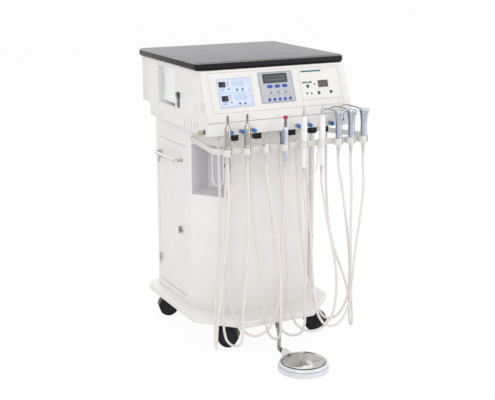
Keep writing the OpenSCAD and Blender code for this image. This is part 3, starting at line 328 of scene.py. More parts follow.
def window(name, tone):
    """Display window: dark film behind a clear gloss face, with a faint grid of cells."""
    f = Finish(name, coat_weight=0.15, coat_roughness=0.12, specular_ior_level=0.3)
    x, _, z = f.axes()
    grid = ((x * 450).part() > 0.12) * ((z * 430).part() > 0.10)
    glow = f.noise(0.05, 2)
    f.set("Base Color", f.mix(grid * 0.5 + glow * 0.4, shaded(tone, 0.55), tone))
    f.set("Roughness", 0.24 + glow * 0.12)
    return f.material


def lamp_dot(name, tone, strength=0.6):
    """Small lit lens, brighter in its middle."""
    f = Finish(name, coat_weight=0.8, roughness=0.2)
    spot = f.noise(0.002, 1)
    f.set("Base Color", f.mix(spot, tone, shaded(tone, 0.8)))
    f.set("Emission Color", f.mix(spot, tone, shaded(tone, 0.7)))
    f.set("Emission Strength", strength)
    return f.material


def soft_hose(name, tone, rib=0.0, rough=0.34):
    """Silicone or PVC tube. The pattern follows the tube through its own map."""
    f = Finish(name, coat_weight=0.2, coat_roughness=0.3, subsurface_weight=0.05)
    run = f.node("ShaderNodeUVMap", {"uv_map": "sweep"})
    split = f.node("ShaderNodeSeparateXYZ", {}, [run])
    around, along = [Wire(f, s) for s in split.socket.node.outputs[:2]]
    cloud = f.noise(0.018, 4, 0.6)
    stain = f.noise(0.05, 3, 0.6).between(0.45, 0.8)
    tint = f.mix(cloud.between(0.35, 0.75), tone, shaded(tone, 0.93))
    if rib:
        rings = abs((along * (1 / rib)).part() - 0.5)
        # The grooves between the ribs are darker in the colour: painted shade
        tint = f.mix(rings.between(0.30, 0.5), tint, shaded(tone, 0.62))
        f.relief(1 - rings.between(0.2, 0.5), 0.8, 0.0012)
    else:
        seam = abs(around - 0.5) < 0.012
        f.relief(cloud * 0.4 + seam, 0.10, 0.0003)
    f.set("Base Color", f.mix(stain * 0.35, tint, shaded(tone, 0.88)))
    f.set("Roughness", rough - 0.04 + cloud * 0.12)
    return f.material


def circuit_board(name):
    """Green board with pale tracks both ways."""
    f = Finish(name, coat_weight=0.4)
    x, y, _ = f.axes()
    tracks = (abs((x * 160).part() - 0.5) < 0.12) * (f.noise(0.02, 1) > 0.5)
    cross = (abs((y * 160).part() - 0.5) < 0.10) * (f.noise(0.015, 1) > 0.55)
    f.set("Base Color", f.mix((tracks + cross).clamped(), (0.03, 0.16, 0.08), (0.30, 0.34, 0.18)))
    f.set("Roughness", 0.45 - tracks * 0.15)
    return f.material


# Each finish: its maker, its name, its colour or the name of the user's colour, and its settings
FINISHES = {
    "worktop_dark": (gloss_laminate, "worktop laminate", "slab"),
    "edge_band": (rubber, "slab edge band", (0.008, 0.008, 0.012), 0.30, 0.06, 0.18),
    # Painted highlight: a lighter band on the black edge that stands for a reflection
    "edge_line": (moulding, "slab edge line", (0.20, 0.19, 0.18), 0.34, 0.003, 0.04),
    "ivory_paint": (powder_coat, "ivory powder coat", "ivory"),
    # Painted shade: a lavender grey for the inside of the open compartment
    "niche_shade_paint": (powder_coat, "grey liner paint", (0.77, 0.755, 0.79), 0.5, 0.0),
    "white_plastic": (moulding, "white moulding", "white"),
    # Painted light: a lighter copy of the white moulding for the inside of the pocket
    "pocket_lit_white": (moulding, "pocket moulding", (0.90, 0.91, 0.90), 0.40, 0.0016, 0.05),
    # Partly the rail's own greyer plastic, partly painted shade: a darker copy of the white moulding
    "rail_grey_and_shade": (moulding, "rail moulding", (0.73, 0.71, 0.68), 0.34, 0.0016, 0.06),
    # Painted shade: grey that stands for the shadowed gaps under the panel and round the door
    "seam_shade_paint": (moulding, "seam filler", (0.34, 0.32, 0.34), 0.5),
    # Painted shade: a darker copy of the panel moulding for its groove
    "panel_shaded_groove": (moulding, "panel groove", (0.64, 0.62, 0.605), 0.45, 0.0014, 0.05),
    "panel_ivory": (moulding, "panel moulding", (0.785, 0.762, 0.735), 0.42, 0.0014, 0.07),
    "keypad_blue": (membrane, "pale blue film", (0.52, 0.61, 0.80)),
    "keypad_ink": (membrane, "blue print", (0.17, 0.30, 0.66)),
    "keypad_white": (membrane, "white print", (0.64, 0.71, 0.85)),
    "keypad_grey": (membrane, "grey film", (0.475, 0.48, 0.515)),
    "keypad_rim": (membrane, "dark rim print", (0.20, 0.22, 0.30)),
    "keypad_cream": (membrane, "cream film", (0.78, 0.76, 0.725)),
    "display_dark": (window, "dark display", (0.060, 0.078, 0.082)),
    "display_black": (window, "black display", (0.014, 0.012, 0.018)),
    "display_grey": (window, "grey display", (0.085, 0.088, 0.098)),
    "display_frame": (moulding, "display frame", (0.03, 0.035, 0.04), 0.3),
    "digit_glow": (lamp_dot, "display digits", (0.12, 0.02, 0.05), 0.1),
    "digit_pale": (lamp_dot, "pale segments", (0.17, 0.15, 0.15), 0.03),
    "lamp_green": (lamp_dot, "green lens", (0.05, 0.36, 0.12), 0.3),
    "lamp_amber": (lamp_dot, "amber lens", (0.80, 0.30, 0.04)),
    "lamp_blue": (lamp_dot, "blue lens", (0.05, 0.15, 0.80)),
    "lamp_violet": (lamp_dot, "violet lens", (0.30, 0.12, 0.55), 0.3),
    "key_blue": (moulding, "blue key", (0.012, 0.085, 0.42), 0.42, 0.001, 0.06, 0.05),
    "key_grey": (moulding, "grey key", (0.25, 0.26, 0.31), 0.38, 0.001, 0.06),
    "key_teal": (moulding, "teal key", ("teal", 0.72), 0.42, 0.001, 0.06, 0.0),
    "key_dark": (moulding, "dark key", (0.03, 0.03, 0.035), 0.4),
    "strip_white": (powder_coat, "white strip paint", (0.84, 0.82, 0.80), 0.36, 0.0),
    "valve_brass": (brushed, "turned brass", (0.52, 0.44, 0.35), 0.24, (18, 1, 18)),
    "knob_blue": (brushed, "blue anodised knob", "blue", 0.26, (18, 1, 18), 0.0, 0.6),
    "coupler_dark": (knurled, "dark coupler knurl", (0.13, 0.13, 0.14)),
    "coupler_pale": (knurled, "pale coupler knurl", (0.66, 0.60, 0.52)),
    "ring_lime": (moulding, "lime ring", (0.42, 0.52, 0.05), 0.35),
    "black_plastic": (rubber, "black plastic", (0.009, 0.009, 0.011), 0.42, 0.2, 0.25),
    "rocker_teal": (moulding, "rocker face", (0.010, 0.045, 0.050), 0.25, 0.002, 0.05, 0.6),
    "fitting_chrome": (brushed, "plated fitting", (0.74, 0.74, 0.73), 0.22, (1, 1, 6)),
    "handpiece_steel": (brushed, "satin steel", (0.46, 0.435, 0.41), 0.18, (1, 1, 0.06)),
    "tip_dark": (brushed, "dark tip", (0.19, 0.18, 0.20), 0.26, (1, 1, 0.06)),
    "head_red": (moulding, "red head", (0.44, 0.006, 0.025), 0.34, 0.001, 0.03, 0.0),
    "steel_rings": (brushed, "ringed steel", (0.42, 0.40, 0.38), 0.20, (1, 1, 0.06), 0.0022),
    "syringe_rings": (brushed, "ringed syringe", (0.48, 0.52, 0.60), 0.22, (1, 1, 0.06), 0.0022),
    "nozzle_steel": (brushed, "nozzle steel", (0.30, 0.29, 0.28), 0.22, (1, 1, 0.06)),
    "steel_knurl": (knurled, "knurled steel", (0.34, 0.33, 0.35)),
    "bright_steel": (brushed, "bright steel", (0.72, 0.73, 0.75), 0.16, (1, 1, 0.06)),
    "handpiece_blue": (brushed, "blue-grey anodised", (0.24, 0.27, 0.36), 0.28, (1, 1, 0.06)),
    "handpiece_silver": (brushed, "silver-blue anodised", (0.60, 0.64, 0.72), 0.20, (1, 1, 0.06)),
    "handpiece_white": (moulding, "white handpiece", (0.84, 0.84, 0.85), 0.25, 0.001, 0.03, 0.5),
    "tip_lavender": (brushed, "lavender tip", (0.52, 0.52, 0.60), 0.25, (1, 1, 0.06)),
    "syringe_metal": (brushed, "syringe metal", (0.52, 0.56, 0.64), 0.16, (1, 1, 0.06)),
    "handle_chrome": (brushed, "handle plating", (0.62, 0.60, 0.54), 0.24, (1, 0.06, 1)),
    "lock_dark": (brushed, "satin lock", (0.44, 0.43, 0.42), 0.26, (1, 1, 1)),
    "castor_black": (rubber, "castor shell", (0.009, 0.009, 0.013), 0.40, 0.3, 0.25),
    "castor_tread": (rubber, "tyre rubber", (0.012, 0.012, 0.015), 0.66, 0.5, 0.25),
    "castor_hub": (rubber, "wheel centre", (0.020, 0.020, 0.025), 0.45, 0.3, 0.3),
    "pedal_ring": (moulding, "pedal ring", (0.70, 0.73, 0.77), 0.28, 0.002, 0.04, 0.5),
    # Painted shade: grey-blue for the groove of the pedal ring
    "pedal_groove": (moulding, "pedal groove", (0.28, 0.32, 0.38), 0.4),
    "pedal_steel": (brushed, "pedal disc steel", (0.56, 0.545, 0.53), 0.09, (1, 1, 1)),
    "electronics": (circuit_board, "circuit board"),
    "tray_zinc": (brushed, "zinc tray", (0.50, 0.50, 0.49), 0.38, (1, 6, 1)),
    "compressor_grey": (powder_coat, "compressor paint", (0.16, 0.17, 0.19), 0.45, 0.0),
    "conduit_grey": (moulding, "conduit plastic", (0.72, 0.71, 0.69), 0.42),
    "hose_ivory": (soft_hose, "ivory hose", "hose"),
    "hose_rose": (soft_hose, "rose-white hose", (0.78, 0.72, 0.70)),
    "hose_boot": (moulding, "hose boot", (0.66, 0.64, 0.61), 0.4),
    "hose_boot_tan": (moulding, "foot hose boot", (0.30, 0.29, 0.26), 0.5),
    "hose_tan": (soft_hose, "tan ribbed hose", "tan", 0.0042, 0.5),
}
made_finishes = {}


def toned(tone):
    """A colour as it stands, the user's colour of that name, or a share of the user's colour."""
    if isinstance(tone, str):
        return getattr(colours(), tone)
    if isinstance(tone[0], str):
        return shaded(getattr(colours(), tone[0]), tone[1])
    return tone


def finish(name):
    """The material of a finish, made when it is first asked for."""
    if name not in made_finishes:
        maker, label, *rest = FINISHES[name]
        made_finishes[name] = maker(label, *map(toned, rest[:1]), *rest[1:])
    return made_finishes[name]


# ---------- modelling ----------

def clear():
    """Back to object mode with nothing selected."""
    if bpy.context.mode != "OBJECT":
        bpy.ops.object.mode_set(mode="OBJECT")
    bpy.ops.object.select_all(action="DESELECT")


def hold(*objects):
    """Selects these objects alone. The first is the active one."""
    clear()
    for obj in objects:
        obj.select_set(True)
    bpy.context.view_layer.objects.active = objects[0]
    return objects[0]


def settle(obj):
    """Puts the object's place into its mesh."""
    hold(obj)
    bpy.ops.object.transform_apply(location=True, rotation=True, scale=True)
    return obj


def placed(obj, matrix):
    """Moves a piece that stands at the origin, and settles it."""
    obj.matrix_world = matrix
    return settle(obj)


def at(x, y, z):
    """Shift in millimetres."""
    return Matrix.Translation(Vector((x, y, z)) * MM)


def turn(degrees, axis):
    """Turn about an axis through the origin."""
    return Matrix.Rotation(math.radians(degrees), 4, axis)


def round_edges(obj, width, segments=3, test=lambda a, b: True):
    """Rounds the edges whose two ends, in millimetres, pass a test."""
    hold(obj)
    bpy.ops.object.mode_set(mode="EDIT")
    bpy.ops.mesh.select_mode(type="EDGE")
    bpy.ops.mesh.select_all(action="DESELECT")
    bpy.ops.object.mode_set(mode="OBJECT")
    corners = obj.data.vertices
    for edge in obj.data.edges:
        edge.select = bool(test(*(corners[v].co / MM for v in edge.vertices)))
    bpy.ops.object.mode_set(mode="EDIT")
    bpy.ops.mesh.bevel(offset=width * MM, segments=segments, profile=0.5, affect="EDGES")
    clear()
    return obj


def outward(obj):
    """Merges doubles and turns every face outwards."""
    hold(obj)
    bpy.ops.object.mode_set(mode="EDIT")
    bpy.ops.mesh.select_all(action="SELECT")
    bpy.ops.mesh.remove_doubles(threshold=1e-6)
    bpy.ops.mesh.normals_make_consistent(inside=False)
    clear()
    return obj


def block(low, high, rounding=0, segments=2, test=lambda a, b: True):
    """A box between two corners, with rounded edges."""
    clear()
    low, high = Vector(low), Vector(high)
    bpy.ops.mesh.primitive_cube_add(size=1, location=(low + high) / 2 * MM, scale=(high - low) * MM)
    obj = settle(bpy.context.object)
    return round_edges(obj, rounding, segments, test) if rounding else obj


def turned(profile, place=None, sides=None):
    """A turned piece, drawn up face by face from [radius, height] pairs."""
    clear()
    radius, height = profile[0]
    bpy.ops.mesh.primitive_circle_add(
        vertices=sides or sizes().turned_sides, radius=radius * MM, fill_type="NGON",
        location=(0, 0, height * MM))
    obj = settle(bpy.context.object)
    bpy.ops.object.mode_set(mode="EDIT")
    bpy.ops.mesh.select_mode(type="FACE")
    bpy.ops.mesh.select_all(action="SELECT")
    for r, z in profile[1:]:
        rise = (0, 0, (z - height) * MM)
        bpy.ops.mesh.extrude_region_move(TRANSFORM_OT_translate={"value": rise})
        if r != radius:
            bpy.ops.transform.resize(value=(r / radius, r / radius, 1), center_override=(0, 0, 0))
        radius, height = r, z
    clear()
    outward(obj)
    return placed(obj, place) if place else obj


def prism(outline, low, high, along="Z"):
    """A plate with the given outline, drawn out along an axis."""
    clear()
    bpy.ops.mesh.primitive_circle_add(vertices=len(outline), radius=1, fill_type="NGON")
    obj = bpy.context.object
    for corner, (u, v) in zip(obj.data.vertices, outline):
        corner.co = Vector({"X": (low, u, v), "Y": (u, low, v), "Z": (u, v, low)}[along]) * MM
    bpy.ops.object.mode_set(mode="EDIT")
    bpy.ops.mesh.select_mode(type="FACE")
    bpy.ops.mesh.select_all(action="SELECT")
    reach = [(high - low) * MM if axis == along else 0 for axis in "XYZ"]
    bpy.ops.mesh.extrude_region_move(TRANSFORM_OT_translate={"value": reach})
    return outward(obj)


def rounded_outline(x0, x1, z0, z1, radius, steps=5):
    """Corners of a rounded rectangle."""
    points = []
    for k, (cx, cz) in enumerate([(x1 - radius, z1 - radius), (x0 + radius, z1 - radius),
                                  (x0 + radius, z0 + radius), (x1 - radius, z0 + radius)]):
        for j in range(steps + 1):
            a = math.radians(90 * k + 90 * j / steps)
            points.append((cx + radius * math.cos(a), cz + radius * math.sin(a)))
    return points


def cut(obj, *cutters):
    """Takes the cutters out of a piece."""
    for cutter in cutters:
        hold(obj)
        made = obj.modifiers.new("cut", "BOOLEAN")
        made.operation, made.solver, made.object = "DIFFERENCE", "EXACT", cutter
        bpy.ops.object.modifier_apply(modifier=made.name)
        bpy.data.objects.remove(cutter)
    return obj


def coated(obj, *names):
    """Gives a piece its first finish, and the others as further slots."""
    obj.data.materials.clear()
    for name in names:
        obj.data.materials.append(finish(name))
    for face in obj.data.polygons:
        face.material_index = 0
    return obj


def touched(obj, name, test):
    """Puts one finish on the faces that pass a test."""
    material = finish(name)
    if material.name not in obj.data.materials:
        obj.data.materials.append(material)
    index = obj.data.materials.find(material.name)
    for face in obj.data.polygons:
        if test(face.center / MM, face.normal):
            face.material_index = index
    return obj


def joined(*objects):
    """One piece out of several, under the first one's name."""
    hold(*objects)
    bpy.ops.object.join()
    return objects[0]


def copied(obj, matrix):
    """A copy with its own mesh, moved by a matrix."""
    hold(obj)
    bpy.ops.object.duplicate(linked=False)
    twin = bpy.context.object
    twin.data.transform(matrix)
    return twin


def hand_in(obj, name, slot, body, *nodes, angle=32):
    """Names a finished piece, and says what it rides on and stands for."""
    hold(obj)
    bpy.ops.object.shade_smooth_by_angle(angle=math.radians(angle))
    obj.name = obj.data.name = name
    if nodes:
        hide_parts(*nodes)
    if body:
        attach(obj, body)
    return obj


def remade(node, rounding=0.0):
    """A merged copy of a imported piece, with its sharp edges rounded."""
    obj = bpy.data.objects.new(node + "_copy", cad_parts[node].data.copy())
    bpy.context.scene.collection.objects.link(obj)
    hold(obj)
    bpy.ops.object.mode_set(mode="EDIT")
    bpy.ops.mesh.select_all(action="SELECT")
    bpy.ops.mesh.remove_doubles(threshold=2e-6)
    bpy.ops.mesh.dissolve_limited(angle_limit=math.radians(1), delimit={"NORMAL"})
    clear()
    if rounding:
        made = obj.modifiers.new("edges", "BEVEL")
        made.width, made.segments, made.limit_method = rounding * MM, 2, "ANGLE"
        made.angle_limit, made.use_clamp_overlap = math.radians(SHARP_EDGE), True
        hold(obj)
        bpy.ops.object.modifier_apply(modifier=made.name)
    return obj


# ---------- hoses ----------

def slopes(points):
    """Direction of a route at each of its points, weighted by the chords on each side."""
    chords = [b - a for a, b in zip(points, points[1:])]
    units = [c.normalized() for c in chords]
    inner = [(units[i - 1] * chords[i].length + units[i] * chords[i - 1].length)
             / (chords[i].length + chords[i - 1].length) for i in range(1, len(chords))]
    return [units[0], *inner, units[-1]]


def route(points, steps):
    """Smooth curve through given points, each stretch cut into equal steps."""
    points = [Vector(p) for p in points]
    ways = slopes(points)
    line = []
    for i in range(len(points) - 1):
        a, b = points[i], points[i + 1]
        d = (b - a).length
        for j in range(steps):
            t = j / steps
            line.append((2 * t**3 - 3 * t**2 + 1) * a + (t**3 - 2 * t**2 + t) * d * ways[i]
                        + (3 * t**2 - 2 * t**3) * b + (t**3 - t**2) * d * ways[i + 1])
    return line + [points[-1]]


def swept(line, radii, sides):
    """A tube along a line in metres, with one radius or one for each point, and its own map."""
    count = len(line)
    if not isinstance(radii, (list, tuple)):
        radii = [radii] * count
    side = Vector((1, 0.01, 0))
    corners, run, done = [], [0.0], 0.0
    for i in range(count):
        way = (line[min(i + 1, count - 1)] - line[max(i - 1, 0)]).normalized()
        side = (side - side.dot(way) * way).normalized()
        up = way.cross(side)
        for k in range(sides):
            a = 2 * math.pi * k / sides
            corners.append(line[i] + radii[i] * (math.cos(a) * side + math.sin(a) * up))
        if i:
            done += (line[i] - line[i - 1]).length
            run.append(done)
    faces = []
    for i in range(count - 1):
        for k in range(sides):
            a, b = i * sides + k, i * sides + (k + 1) % sides
            faces.append((a, b, b + sides, a + sides))
    faces.append(tuple(range(sides))[::-1])
    faces.append(tuple(range((count - 1) * sides, count * sides)))
    mesh = bpy.data.meshes.new("tube")
    mesh.from_pydata(corners, [], faces)
    layer = mesh.uv_layers.new(name="sweep")
    for face in mesh.polygons:
        wraps = {0, sides - 1} <= {v % sides for v in face.vertices}
        for i in face.loop_indices:
            ring, k = divmod(mesh.loops[i].vertex_index, sides)
            layer.data[i].uv = (1.0 if wraps and k == 0 else k / sides, run[ring])
    mesh.validate()
    obj = bpy.data.objects.new("tube", mesh)
    bpy.context.scene.collection.objects.link(obj)
    return obj


def line_length(line):
    """Length along a line."""
    return sum((b - a).length for a, b in zip(line, line[1:]))


# Routes of the hoses from their tools down and back up to their glands, as on the part's drawing
ROUTES = {
    "hose_1": [
        (-244, -404, 761.7), (-244, -404, 730), (-242, -404, 630), (-256, -404, 430),
        (-276, -404, 250), (-289, -405, 155), (-293, -409, 104), (-288, -397, 73),
        (-277, -368, 60), (-266, -339, 73), (-261, -327, 104), (-260, -325, 155),
        (-252, -320, 260), (-236, -312, 420), (-228, -305, 560), (-230, -300, 765),
        (-230, -300, 809.7)],
    "hose_2": [
        (-169, -404, 761.7), (-169, -404, 730), (-165, -405, 600), (-170, -408, 420),
        (-184, -411, 250), (-193, -413, 155), (-196, -418, 102), (-201, -406, 71),
        (-212, -378, 59), (-224, -350, 71), (-229, -338, 102), (-231, -336, 155),
        (-236, -338, 250), (-237, -340, 380), (-224, -330, 540), (-206, -312, 680),
        (-198, -300, 765), (-198, -300, 809.7)],
    "hose_3": [
        (-94, -404, 751.7), (-94, -404, 712), (-78, -408, 600), (-56, -414, 480), (-46, -421, 350),
        (-44, -427, 220), (-45, -429, 160), (-47, -434, 107), (-49, -422, 77), (-54, -392, 64),
        (-60, -362, 77), (-62, -350, 107), (-68, -348, 160), (-86, -348, 270), (-100, -344, 400),
        (-107, -328, 550), (-104, -300, 765), (-104, -300, 809.7)],
    "hose_4": [
        (-19, -404, 717.7), (-19, -404, 684), (-20, -402, 560), (-28, -396, 400), (-32, -390, 240),
        (-42, -386, 155), (-70, -378, 98), (-116, -366, 75), (-160, -355, 100), (-194, -342, 165),
        (-214, -328, 270), (-211, -320, 430), (-186, -308, 620), (-166, -300, 765),
        (-166, -300, 809.7)],
    "hose_5": [
        (56, -404, 695.7), (56, -404, 660), (68, -406, 530), (68, -410, 340), (64, -412, 220),
        (63, -413, 160), (62, -416, 106), (52, -407, 73), (27, -386, 60), (2, -365, 73),
        (-8, -356, 106), (-11, -354, 160), (-18, -352, 260), (-28, -344, 400), (-36, -324, 590),
        (-40, -300, 765), (-40, -300, 809.7)],
    "hose_6": [
        (131, -404, 695.7), (131, -404, 660), (146, -404, 560), (178, -406, 410), (200, -408, 290),
        (200, -408, 180), (180, -407, 108), (142, -402, 74), (98, -390, 66), (56, -374, 92),
        (32, -362, 160), (26, -350, 300), (20, -330, 520), (13, -303, 720), (12, -300, 765),
        (12, -300, 809.7)],
    "syringe_hose_1": [
        (201, -404, 749.7), (201, -404, 712), (222, -400, 610), (244, -396, 490), (262, -394, 370),
        (268, -394, 260), (261, -394, 180), (238, -390, 126), (218, -386, 104), (195, -381, 98),
        (172, -375, 105), (153, -369, 130), (130, -359, 180), (106, -346, 280), (92, -332, 430),
        (86, -314, 600), (84, -300, 765), (84, -300, 809.7)],
    "syringe_hose_2": [
        (254, -404, 749.7), (254, -404, 712), (259, -408, 600), (257, -412, 450), (260, -414, 280),
        (266, -415, 160), (270, -417, 102), (276, -405, 70), (289, -376, 57), (302, -348, 70),
        (308, -336, 102), (306, -330, 160), (288, -326, 230), (254, -322, 320), (226, -316, 420),
        (213, -307, 570), (212, -300, 765), (212, -300, 809.7)],
    "syringe_hose_3": [
        (307, -404, 749.7), (307, -404, 712), (310, -410, 600), (290, -420, 480), (266, -430, 350),
        (252, -434, 230), (240, -434, 155), (214, -432, 106), (193, -429, 89), (170, -424, 85),
        (148, -418, 94), (131, -411, 118), (117, -398, 180), (114, -384, 270), (116, -362, 400),
        (118, -332, 570), (118, -300, 765), (118, -300, 809.7)],
    "foot_hose": [
        (-24, -399.5, 15), (-24, -388, 15), (-18, -368, 15), (-6, -347, 21), (6, -326, 37),
        (12, -306, 60), (12, -298, 76), (12, -298, 86.5)],
}
# Each tool hose: the body that carries its tool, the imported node, its finish, and the stretch
# where it passes from the cart's part to the tool's, as (x, y) in millimetres
TOOL_HOSES = {
    "hose_1": ("motor_1", "hose_1", "hose_ivory", (0, -362), (0, -398)),
    "hose_2": ("motor_2", "hose_2", "hose_ivory", (0, -345), (0, -400)),
    "hose_3": (None, "hose_3", "hose_ivory", None, None),
    "hose_4": ("endo", "hose_4", "hose_rose", (0, -345), (0, -402)),
    "hose_5": ("scaler_1", "hose_5", "hose_rose", (0, -358), (0, -400)),
    "hose_6": ("scaler_2", "hose_6", "hose_ivory", (0, -352), (0, -402)),
    "syringe_hose_1": ("syringe_1", "syringe_hoses", "hose_ivory", (0, -350), (0, -400)),
    "syringe_hose_2": ("syringe_2", "syringe_hoses", "hose_ivory", (0, -345), (0, -400)),
    "syringe_hose_3": ("syringe_3", "syringe_hoses", "hose_ivory", (130, 0), (240, 0)),
}
HOSE_R = 4.5
FOOT_HOSE_R = 7.0
# Thin signal tubes: their two ends under the holders or the rail, and the height of their bottom
SIGNALS = (
    ((-278, -350, 771.7), (-254.5, -391.5, 769.7), 662),
    ((-233.5, -391.5, 769.7), (-179.5, -391.5, 769.7), 650),
    ((-104.5, -391.5, 769.7), (-29.5, -391.5, 769.7), 657),
    ((-8.5, -391.5, 769.7), (120.5, -391.5, 769.7), 644))
SIGNAL_R = 2.0
SAG_BACK = 7
BOOT_R = 5.9
BOOT_RINGS = 24
RIB_DEPTH = 0.7


def sagging(p, q, low):
    """Points of a thin tube that hangs straight from both ends and turns round a half circle."""
    p, q = Vector(p), Vector(q)
    half = Vector((q.x - p.x, q.y - p.y, 0)) / 2
    middle, r = Vector(((p.x + q.x) / 2, (p.y + q.y) / 2, low)), half.length
    arc = [middle - half * math.cos(a) + Vector((0, SAG_BACK * math.sin(a), r - r * math.sin(a)))
           for a in (math.radians(20 * k) for k in range(10))]
    return [p, (p * 2 + arc[0]) / 3, (p + arc[0] * 2) / 3, *arc,
            (q + arc[-1] * 2) / 3, (q * 2 + arc[-1]) / 3, q]


def sleeve(line, name, tone, reach, thick, thin, body):
    """A tapered boot over the first stretch of a line, with a groove at every third ring."""
    steps = range(1, BOOT_RINGS + 1)
    part = [line[0], *(point_along(line, reach * MM * k / BOOT_RINGS) for k in steps)]
    radii = [(thick + (thin - thick) * k / BOOT_RINGS - (RIB_DEPTH if k % 3 == 2 else 0)) * MM
             for k in (0, *steps)]
    boot = coated(outward(swept(part, radii, 20)), tone)
    return hand_in(boot, name, "hose_ivory", body)


def point_along(line, run):
    """The point a given run from a line's start."""
    for a, b in zip(line, line[1:]):
        d = (b - a).length
        if run <= d:
            return a + (b - a) * (run / d)
        run -= d
    return line[-1].copy()


class CART_OT_hoses(bpy.types.Operator):
    """Nine tool hoses that hang in loops, four thin signal tubes, and the foot control's short hose"""
    bl_idname = "cart.hoses"
    bl_label = "Hoses"

    def execute(self, context):
        for name, (body, node, tone, root, free) in TOOL_HOSES.items():
            line = [p * MM for p in route(ROUTES[name], sizes().hose_steps)]
            hose = coated(swept(line, HOSE_R * MM, sizes().hose_sides), tone)
            boot = sleeve(line, name + "_boot", "hose_boot", 26, BOOT_R, HOSE_R + 0.15,
                          body or BODY)
            hand_in(hose, name + "_tube", "hose_ivory", None if body else BODY, node)
            if body:
                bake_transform(hose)
            line_length(line)
        for k, (p, q, low) in enumerate(SIGNALS):
            line = [p * MM for p in route(sagging(p, q, low), 3)]
            tube = coated(swept(line, SIGNAL_R * MM, 10), "hose_ivory")
            hand_in(tube, f"signal_tube_{k + 1}", "hose_ivory", BODY, "syringe_hoses")
            line_length(line)
        line = [p * MM for p in route(ROUTES["foot_hose"], sizes().hose_steps)]
        hose = coated(swept(line, FOOT_HOSE_R * MM, 24), "hose_tan")
        hand_in(hose, "foot_hose_tube", "hose_tan", BODY, "foot_hose")
        thin = FOOT_HOSE_R + 0.3
        boots = [
            sleeve(line, "foot_hose_boot", "hose_boot_tan", 30, 9.3, thin, BODY),
            sleeve(line[::-1], "foot_hose_gland_boot", "hose_boot_tan", 24, 9.0, thin, BODY)]
        line_length(line)
        return {"FINISHED"}


# ---------- stage ----------

CAMERA_AT = Vector((-1.8022, -3.5910, 1.5338))
CAMERA_YAW = 27.14
CAMERA_PITCH = 14.51
CAMERA_LENS = 77.0
# Lamps: place and aim in metres, side of the lamp, and watts
LAMPS = {
    "key_lamp": ((-2.6, -3.4, 2.4), (0, -0.2, 0.6), 2.8, 50),
    "fill_lamp": ((2.6, -2.8, 1.6), (0, -0.1, 0.6), 3.4, 36),
    "top_lamp": ((0.2, 0.4, 3.6), (0, 0, 0.8), 3.0, 26),
    "rear_lamp": ((-0.6, 3.2, 2.4), (0, 0, 0.7), 3.0, 24),
}


def area_lamp(name, place, aim, side, energy):
    """A soft square lamp that looks at a point."""
    bpy.ops.object.light_add(type="AREA", location=place)
    lamp = bpy.context.object
    lamp.name = name
    lamp.data.shape = "RECTANGLE"
    lamp.data.size = lamp.data.size_y = side
    lamp.data.energy = energy
    lamp.rotation_mode = "QUATERNION"
    lamp.rotation_quaternion = (Vector(aim) - Vector(place)).to_track_quat("-Z", "Y")


def background_rays(f):
    """1 for the rays that see the backdrop: the camera's, and those that reflect or pass through."""
    paths = f.node("ShaderNodeLightPath", out="Is Camera Ray").socket.node.outputs
    camera, glossy, through = [
        Wire(f, paths[f"Is {kind} Ray"]) for kind in ("Camera", "Glossy", "Transmission")]
    return (camera + glossy + through).clamped()


class CART_OT_stage(bpy.types.Operator):
    """Camera at the photograph's view, pale floor, even world and soft lamps"""
    bl_idname = "cart.stage"
    bl_label = "Stage"

    def execute(self, context):
        scene = context.scene
        clear()
        bpy.ops.object.camera_add(location=CAMERA_AT)
        camera = context.object
        yaw, pitch = math.radians(CAMERA_YAW), math.radians(CAMERA_PITCH)
        gaze = Vector((math.sin(yaw) * math.cos(pitch), math.cos(yaw) * math.cos(pitch),
                       -math.sin(pitch)))
        camera.rotation_mode = "QUATERNION"
        camera.rotation_quaternion = gaze.to_track_quat("-Z", "Y")
        camera.data.lens, camera.data.sensor_width = CAMERA_LENS, 36
        camera.data.clip_start, camera.data.clip_end = 0.05, 60
        scene.camera = camera
        clear()
        bpy.ops.mesh.primitive_plane_add(size=30, location=(0, 0, 0))
        floor = settle(context.object)
        floor.name = "pale_floor"
        floor.data.materials.append(self.floor_finish())
        for name, values in LAMPS.items():
            area_lamp(name, *values)
        self.world(scene)
        scene.view_settings.view_transform = "Standard"
        return {"FINISHED"}

    def floor_finish(self):
        """Pale matt floor, which is the same white as the backdrop where it is seen directly."""
        f = Finish("pale floor", roughness=0.8, specular_ior_level=0.2)
        cloud = f.noise(0.6, 3)
        f.set("Base Color", f.mix(cloud, colours().floor, shaded(colours().floor, 0.985)))
        white = f.node("ShaderNodeEmission", {}, {"Color": (1, 1, 1), "Strength": 1.0})
        output = next(n for n in f.tree.nodes if n.type == "OUTPUT_MATERIAL")
        both = f.node("ShaderNodeMixShader", {},
                      [background_rays(f) * 0.94, Wire(f, f.shader.outputs[0]), white])
        f.plug(output.inputs["Surface"], both)
        return f.material

    def world(self, scene):
        """Even white light, brighter for the rays that see the backdrop."""
        world = bpy.data.worlds.new("even white")
        scene.world = world
        world.use_nodes = True
        f = Finish.__new__(Finish)
        f.tree = world.node_tree
        sky = next(n for n in f.tree.nodes if n.type == "BACKGROUND")
        f.plug(sky.inputs["Color"], (1, 1, 1))
        f.plug(sky.inputs["Strength"], background_rays(f) * 0.3 + 0.7)


# ---------- worktop and housing ----------

SLAB_TOP = 1076
SLAB_UNDER = 1048
SLAB_HALF = (300, 270)
HOUSE_SIDE = 291
HOUSE_Z = 830


